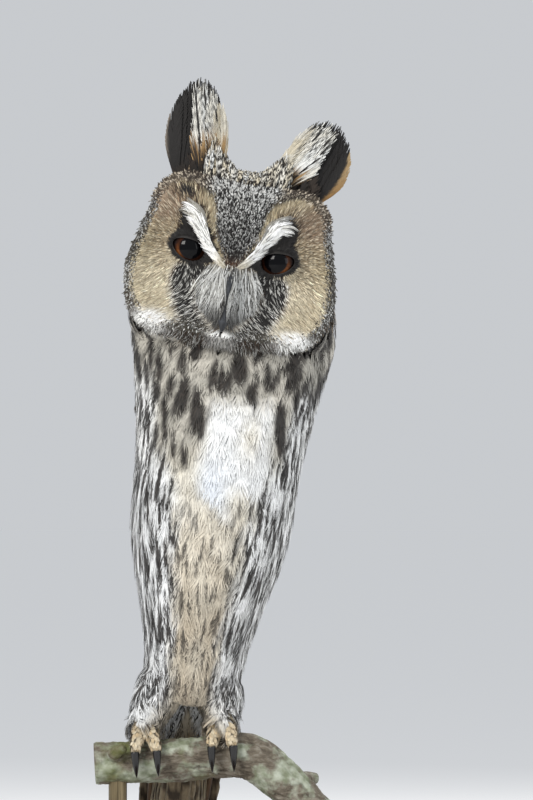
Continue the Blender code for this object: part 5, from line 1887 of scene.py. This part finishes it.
def wing(side):
    """A folded wing: its flight feathers, and the soft coverts over them."""
    sign = OUTSIDE[side]
    surface = wing_surface(sign)
    coat = Coat("coat_wing_" + side)
    wing_core(coat, surface)
    t = np.linspace(0, 1, 44)
    number = 0
    for count, root, roots, tips, ends, half, stand, tilt, marks in WING_TIERS:
        pattern = barred(*marks)
        for share in np.arange(count) / (count - 1):
            theta = between((between(roots, share), between(ends, share)), t)
            path = wing_path(theta, between((root, between(tips, share)), t), stand, half, tilt)
            place = np.array([0.06 + 0.11 * (number % 8), 0.06 + 0.11 * (number // 8)])
            vane(coat, surface, path, half, -tilt * sign, pattern, place)
            number += 1
    covert_coat(coat, surface)
    return coat.build(VANES, "plumage_back", "wing_" + side)


def tail():
    """The closed tail: twelve barred feathers, the middle pair outermost."""
    coat = Coat("coat_tail")
    t = np.linspace(0, 1, 44)
    pairs = 6
    pattern = barred(mix(BUFF, GREY, 0.30) * 0.78, 12.0, 0.1, 0.7)
    for row, sign in enumerate((1, -1)):
        for pair in range(pairs):
            out = sign * (pair + 0.5) / pairs
            theta = between((180 - out * TAIL_ROOT_SPREAD + 1.3, 180 - out * TAIL_TIP_SPREAD + 0.7), t)
            z = 8 - pair + (TAIL_TIP + 1.0 * pair - 8) * t
            layer = -0.9 - 0.22 * pair - (0.5 if sign < 0 else 0.0)
            place = np.array([0.1 + 0.16 * pair, 0.2 + 0.3 * row])
            vane(coat, tail_surface, together(theta, z, layer), 4.6, 0.22 * sign, pattern, place, blunt=0.88)
    return coat.build(VANES, "plumage_back", "tail")


# ------------------------------------------------------------------ ear tufts


FORWARD = np.array([0.0, 0.0, 1.0])
EAR_ROOT_WIDE = 4.6
EAR_FEATHER = 3.8
EAR_ROWS = 9
# Of each ear: its half width, where across it the pale feathers begin, end, and end at the root, how high
# their golden foot goes, and where the pale margin of the outermost dark feather begins
EAR_MARKS = {
    "left": {"wide": 11.5, "inner": -1.05, "pale": 0.30, "root": -0.92, "gold": 0.27, "margin": 0.15},
    "right": {"wide": 9.8, "inner": -1.2, "pale": 0.26, "root": -0.50, "gold": 0.42, "margin": 0.62},
}


def turned_to(lines, way):
    """Normals of lines of points, turned toward a way."""
    heading = unit(np.gradient(lines, axis=1))
    return unit(way - heading * dot(way, heading))


class Ear:
    """An ear tuft in the making: its marks, its own directions in the head's frame, and its coat."""

    def __init__(self, side):
        u0, v0, u1, v1 = EARS[side]
        self.side = side
        self.outside = OUTSIDE[side]
        self.marks = EAR_MARKS[side]
        self.root = np.array([u0, v0 - 5.0, EAR_DEPTH - 1.0])
        tip = np.array([u1, v1, EAR_DEPTH - 3])
        self.along = unit(tip - self.root)
        self.sideways = unit(np.cross(self.along, FORWARD)) * self.outside
        self.length = np.linalg.norm(tip - self.root)
        self.coat = Coat("coat_ear_" + side)

    def fan(self, place, reach, layer, half, style, back=0.0, **more):
        """Feathers in the fan at places across it, -1 at its inner edge, given for each feather and row."""
        place = place[..., None]
        run = np.linspace(0, 1, EAR_ROWS)[None, :, None]
        bulge = self.marks["wide"] * np.sin(0.60 * math.pi * run) * (1.06 - 0.14 * run)
        wide = EAR_ROOT_WIDE * (1 - run) + bulge
        cup = 2.4 * place**2 * run - back * run**2
        line = self.root + self.along * (reach[:, None, None] * run * self.length)
        line = line + self.sideways * place * wide
        lines = from_head(line + FORWARD * (np.reshape(layer, (-1, 1, 1)) + cup))
        front = together(0.35 * self.outside * place[..., 0], -1.0, 0.0)
        barbed(self.coat, lines, turned_to(lines, front), half, style, **more)

    def upright(self, feet, tips, style, half, barbs):
        """Short feathers in the head's frame that stand from their feet to their tips, facing forward."""
        t = np.linspace(0, 1, 6)[None, :, None]
        lines = feet[:, None] * (1 - t) + tips[:, None] * t
        lines = from_head(lines + FORWARD * 1.6 * t * (1 - t))
        normals = turned_to(lines, np.array([0.0, -1.0, 0.25]))
        barbed(self.coat, lines, normals, half, style, barbs=barbs, rows=7, width=0.30, loose=0.6, soft=1.0)

    def dark_style(self, place, brown=0.0):
        """Nearly black, with brown flecks, and the outermost feather with a paler margin."""
        outer = by_feather((place > 0.9) * 1.0)
        place = by_feather(place)
        margin = self.marks["margin"]

        def style(points, s, across, barb):
            colour = mix(SOOT * 0.75, mix(UMBER, OCHRE, 0.4 + 0.4 * barb), ramp(0.30, 0.05, s) * 0.6)
            fleck = np.maximum(ramp(0.2, 0.8, np.sin(s * 26 + place * 40 + 9 * barb)), ramp(0.55, 0.2, s))
            colour = mix(colour, mix(UMBER, BROWN, 0.5 + 0.5 * barb), brown * fleck)
            gilt = mix(OCHRE * 0.60, mix(BUFF, OCHRE, 0.25 + 0.25 * barb) * 0.74, ramp(0.25, 0.9, s))
            paler = gilt if self.side == "left" else mix(BROWN, GREY, 0.5)
            edge = ramp(margin, margin + 0.2, -across * self.outside) * outer
            return lit(mix(colour, paler, edge), 0.10 * barb)

        return style

    def dark_feathers(self):
        """A fan of flecked feathers behind, and the long black ones over it."""
        place = np.linspace(-0.7, 0.85, 8)
        reach = 0.93 - 0.14 * place**2
        kind = {"barbs": 30, "width": 0.42, "loose": 0.1, "soft": 0.3}
        self.fan(place[:, None], reach, -3.4, 3.9, self.dark_style(place, 0.75), back=3.0, **kind)
        place = np.linspace(-0.65, 1.0, 10)
        number = np.arange(10)
        reach = (1 - 0.17 * place**2) * (1 - 0.02 * (number % 2))
        kind = {"barbs": 44, "width": 0.38, "loose": 0.06, "soft": 0.3}
        self.fan(place[:, None], reach, 1.0 - 0.32 * number, EAR_FEATHER, self.dark_style(place), **kind)

    def pale_style(self, share, hue):
        """White with black dashes, golden at the foot, for feathers at a share from the inner edge."""
        middle = by_feather(ramp(0.1, 0.45, share))
        gold = self.marks["gold"]

        def style(points, s, across, barb):
            high = dot(to_head(points) - self.root, self.along)[..., 0] / self.length
            white = mix(SILK, CREAM, 0.5 * hue + 0.5 * (1 - middle)) * (1 - 0.2 * (1 - middle))[..., None]
            own = high + 0.05 * barb + 0.16 * (hue - 0.5)
            golden = mix(mix(OCHRE, BUFF, 0.35) * 0.85, BROWN, 0.75 * np.sin(hue * 31))
            golden = mix(golden, mix(BUFF, CREAM, 0.4), np.minimum((1 - middle) * (hue > 0.4), 0.8))
            colour = mix(golden, white, ramp(gold, gold + 0.14, own))
            spots = 0.9 * (np.sin(hue * 50 + 14 * barb) > 0.35) * ramp(gold + 0.12, gold, own)
            foot = np.maximum(ramp(gold - 0.06, gold - 0.14, own), spots) * (0.35 + 0.65 * middle)
            dash = ramp(0.05, 0.5, np.sin(high * 62 + hue * 40 + 9 * barb)) * ramp(0.50, 0.60, high)
            dash = dash * (0.25 + 0.75 * middle) * (1.0 - 0.3 * hue)
            streak = ramp(0.30, 0.12, np.abs(across)) * ramp(0.3, 0.5, s) * ((hue * 7) % 1 > 0.8)
            return lit(mix(colour, SOOT * 0.8, dash + streak + foot * (hue < 0.8)), 0.12 * barb)

        return style

    def pale_feathers(self):
        """The loose pale feathers in front, from the inner edge of the ear to its middle."""
        count = 120
        share = spread(0, 1, count)
        top = between((self.marks["inner"], self.marks["pale"]), share)
        low = between((-1.05, self.marks["root"]), share)
        place = between((low[:, None], top[:, None]), np.linspace(0, 1, EAR_ROWS))
        reach = spread(0.50, 0.97, count) * (1 - 0.14 * np.clip(top, -1.2, 0) ** 2)
        style = self.pale_style(share, spread(0, 1, (count, 1, 1, 1)))
        layer = 1.4 + spread(0.0, 2.2, count)
        self.fan(place, reach, layer, 1.8, style, barbs=11, rows=10, width=0.30, loose=0.4, soft=1.0)

    def golden_foot(self):
        """The short golden and dark feathers round the foot of the ear."""
        count = 130
        place = spread(-1.5, 1.0, count)
        depth = spread(-3.0, 3.6, count)
        low = spread(0.0, 10.0, count)
        reach = (9.0 + spread(-2, 4, count)) * (1 - 0.22 * np.abs(place))
        drop = 1.5 * np.abs(place)
        feet = self.root + self.sideways * (place * 6.0)[:, None] + self.along * (low - drop)[:, None]
        feet = feet + FORWARD * (depth - drop)[:, None]
        tips = feet + self.along * reach[:, None] + self.sideways * (place * 1.2)[:, None]
        inner = by_feather(ramp(0.5, -0.7, place))
        hue = spread(0, 1, (count, 1, 1, 1))

        def style(points, s, across, barb):
            colour = mix(mix(OCHRE, BUFF, hue), CREAM, ramp(0.5, 1, s) * 0.5) * 0.85
            black = (hue > 0.04 + 0.5 * inner) | (np.sin(hue * 60 + 17 * barb) > -0.1)
            return lit(mix(colour, mix(SOOT * 0.8, UMBER, 0.35 * hue), black), 0.12 * barb)

        self.upright(feet, tips, style, 1.5, 8)

    def speckled_foot(self):
        """The short speckled feathers that rise from the crown to the ear."""
        count = 430
        u = spread(-1.0, 17.5, count)
        v = spread(25.0, 33.0, count)
        w = spread(1.0, 18.5, count) - 0.12 * np.clip(u - 4, 0, None)
        rise = 37.6 + 1.12 * np.clip(u - 4.5, 0, 9.5) - 0.9 * np.clip(u - 14, 0, None)
        rear = ramp(9, 4, w)
        rise = v + (rise - 1.3 * rear * np.clip(u - 11, 0, None) - v) * spread(0.45, 1.0, count)
        feet = together(self.outside * u, v, w)
        tips = together(self.outside * (u + 0.10 * (rise - v)), rise, w + spread(-4.5, 0.3, count))
        mood = spread(0, 1, (count, 1, 1, 1))
        rear = by_feather(rear)

        def style(points, s, across, barb):
            fleck = ramp(-0.1, 0.4, np.sin(s * 21 + mood * 30 + 8 * barb)) * ramp(0.15, 0.3, s)
            light = mix(mix(SILK, CREAM, mood), mix(BUFF, OCHRE, mood) * 0.75, rear * ramp(1.1, 0.8, s))
            return lit(mix(mix(SOOT, UMBER, 0.3 * mood), light, fleck * (1 - 0.35 * rear)), 0.12 * barb)

        self.upright(feet, tips, style, 1.0, 6)


def ear(side):
    """An ear tuft: long black feathers, loose pale ones in front of them, and short ones round its foot."""
    tuft = Ear(side)
    tuft.dark_feathers()
    tuft.pale_feathers()
    tuft.golden_foot()
    tuft.speckled_foot()
    return tuft.coat.build(PLUMAGE, "plumage_tuft", "ear_tuft_" + side)


# ------------------------------------------------------------------ claws, limb and stand


def claws():
    """The claws, each a curved taper from the end of its toe."""
    for side in FOOT_X:
        for toe in TOES:
            line = toe_line(side, toe, rows=28)[1]
            radii = CLAW_RADIUS * np.clip(1 - 0.94 * np.linspace(0, 1, len(line)) ** 1.4, 0.04, 1)
            name = "claw_" + side + "_" + toe
            piece("owl_" + name, tube(line, radii, 20), CLAW, "claw", name)


def bark(turn, run):
    """How uneven the limb is round and along it: its broad wobble, how clear of cracks, and how rough."""
    wobble = 0.035 * (1 + np.sin(3 * turn + 8 * run)) + 0.03 * (1 + np.sin(2 * turn - 14 * run))
    warp = turn + 0.25 * np.sin(9 * run + 2 * np.sin(turn)) + 0.12 * np.sin(31 * run + 3 * turn)
    across = 0.6 + 0.4 * np.abs(np.sin(run * 40 + 2.5 * np.sin(warp * 3))) ** 0.6
    crack = np.abs(np.sin(warp * 6)) ** 0.45 * across
    rough = rng.normal(0, 1, warp.shape)
    for _ in range(2):
        rough = sum([rough] + [np.roll(rough, way, axis) for axis in (1, 0) for way in (1, -1)]) / 5
    return wobble, crack, rough


def twigs():
    """The limb's two broken twigs."""
    t = np.linspace(0, 1, 14)
    bodies = []
    for x0, degrees, reach, size in STUBS:
        lift = curve([(0, -6.0), (0.35, 0.0), (0.7, 0.5 * reach), (1, reach)], t)
        slide = curve([(0, 0), (0.35, 1), (0.7, 2.5), (1, 5.0)], t)
        stub = round_limb(x0, lift, np.full(len(t), degrees), slide)
        bodies.append(tube(stub, curve([(0, 1.5), (0.35, 1.15), (0.7, 1.0), (1, 0.8)], t) * size, 28))
    return bodies


def limb():
    """The limb, its bark cracked into long plates, with two broken twigs."""
    count = 190
    x = np.linspace(LIMB[0][0], LIMB[-1][0], count)
    line = np.column_stack([x, through(LIMB, x)])
    along = unit(np.gradient(line[:, :3], axis=0))
    side = np.array([0.0, 1.0, 0.0])
    up = unit(np.cross(along, side))
    turn = turns(96)[None, :]
    run = np.linspace(0, 1, count)[:, None]
    wobble, crack, rough = bark(turn, run)
    end = ramp(0, 0.01, run) * ramp(1, 0.99, run)
    radius = line[:, 3:] * (1 - wobble) - 0.9 * (1 - crack) + 0.35 * rough
    radius = (radius * (0.94 + 0.06 * end))[..., None]
    out = np.cos(turn)[..., None] * side + np.sin(turn)[..., None] * up[:, None]
    bodies = [capped(line[:, None, :3] + radius * out), *twigs()]
    piece("perch_limb", joined(bodies), BARK, "bark", "perch")


def stand():
    """The stand's rods with their collars, and the finish of its base."""
    sides = 48
    turn = turns(sides)
    circle = together(np.cos(turn), np.sin(turn), 0.0)
    for side, x in ROD_X.items():
        _, y, middle, radius = limb_at(x)
        low = BASE_THICK - SOCKET
        high = middle - radius * 0.5
        ends = [(low, 3.7), (low + 0.3, ROD_RADIUS), (high - 0.5, ROD_RADIUS), (high, 3.6)]
        rings = [np.array([x, y, z]) + circle * size for z, size in ends]
        rod = piece("rod_" + side, capped(rings), METAL, "stand_metal", "stand_rod_" + side)
        rod.data.set_sharp_from_angle(angle=math.radians(35))
        rings = [np.array([x, y, BASE_THICK + z]) + circle * size for size, z in COLLAR]
        faces = grid_faces(len(rings) + 1, sides, closed=True) % (len(rings) * sides)
        piece("collar_" + side, (rings, faces), METAL, "stand_metal")
    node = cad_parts["stand_base"]
    node.data.materials.clear()
    node.data.materials.append(WOOD)
    node.data.polygons.foreach_set("material_index", np.zeros(len(node.data.polygons), np.int32))


# ------------------------------------------------------------------ stage


# The camera's place in metres, its lens and sensor in millimetres, and the height that the lamps point at
CAMERA = (0.0267, -4.0, 0.2535)
LENS = 414.0
SENSOR = 36.0
AIM = (0.0, 0.0, 0.22)
FLOOR = 0.80
FLOOR_REACH = 14.0
SKY = (0.93, 0.96, 1.0)
SKY_STRENGTH = 0.62
# Name, place, size in metres, watts and colour of each lamp
LAMPS = [
    ("key", (-0.9, -1.5, 1.3), 0.7, 30, (1.0, 0.97, 0.93)),
    ("fill", (1.6, -1.1, 0.7), 1.0, 8, (0.93, 0.96, 1.0)),
    ("rim", (0.6, 1.2, 1.2), 0.8, 16, (1.0, 0.98, 0.95)),
]


def stage():
    """A wide pale floor, a plain sky, soft lamps and the camera."""
    across = np.array([-FLOOR_REACH, FLOOR_REACH]) / MM
    floor = mesh_object("stage_floor", together(across, across[:, None], 0.0), grid_faces(2, 2))
    glow = {"Emission_Color": (*SKY, 1), "Emission_Strength": SKY_STRENGTH * (1 - FLOOR)}
    look = Look("stage", 0.95, 0.0, Base_Color=(FLOOR, FLOOR, FLOOR, 1), **glow)
    floor.data.materials.append(look.made)
    scene = bpy.context.scene
    world = bpy.data.worlds.new("world")
    world.use_nodes = True
    background = world.node_tree.nodes["Background"].inputs
    background["Color"].default_value = (*SKY, 1)
    background["Strength"].default_value = SKY_STRENGTH
    scene.world = world
    scene.view_settings.view_transform = "Standard"
    for settings in LAMPS:
        lamp(*settings)
    camera()


def camera():
    """The camera in front of the owl, level with the upper half of its body."""
    data = bpy.data.cameras.new("camera")
    data.sensor_fit = "VERTICAL"
    data.sensor_height = SENSOR
    data.sensor_width = SENSOR
    data.lens = LENS
    data.clip_end = 50.0
    obj = bpy.data.objects.new("camera", data)
    obj.location = CAMERA
    obj.rotation_euler = (math.pi / 2, 0, 0)
    bpy.context.scene.collection.objects.link(obj)
    bpy.context.scene.camera = obj


def lamp(name, place, size, power, colour):
    """A square soft light that points at the owl."""
    data = bpy.data.lights.new(name, "AREA")
    data.size = size
    data.energy = power
    data.color = colour
    obj = bpy.data.objects.new(name, data)
    obj.location = place
    aim = np.array(AIM) - np.array(place)
    flat = math.hypot(aim[0], aim[1])
    obj.rotation_euler = (math.pi / 2 + math.atan2(aim[2], flat), 0, math.atan2(aim[1], aim[0]) - math.pi / 2)
    bpy.context.scene.collection.objects.link(obj)


# ------------------------------------------------------------------ the owl


PLUMAGE = plumage_look("plumage")
VANES = plumage_look("vanes", 0.6, 0.3)
SKIN = skin_look()
EYE = eye_look()
LID = lid_look()
HORN = horn_look("horn", tone(28, 30, 34), tone(80, 84, 91), 0.38)
CLAW = horn_look("claw", tone(12, 12, 13), tone(44, 42, 42), 0.25)
BARK = bark_look()
WOOD = wood_look()
METAL = metal_look()

stage()
body = skin()
points, faces = corners_of(body)
surface = Surface(points, faces)
paint_skin(body, points)

disc_coat()
speck_coat()
brow_coat()
bristle_coat()
crown_coat(surface)
body_coat(surface)
leg_coat(surface)
for side in OUTSIDE:
    wing(side)
    ear(side)
tail()
eyes()
lids()
bill()
claws()
limb()
stand()

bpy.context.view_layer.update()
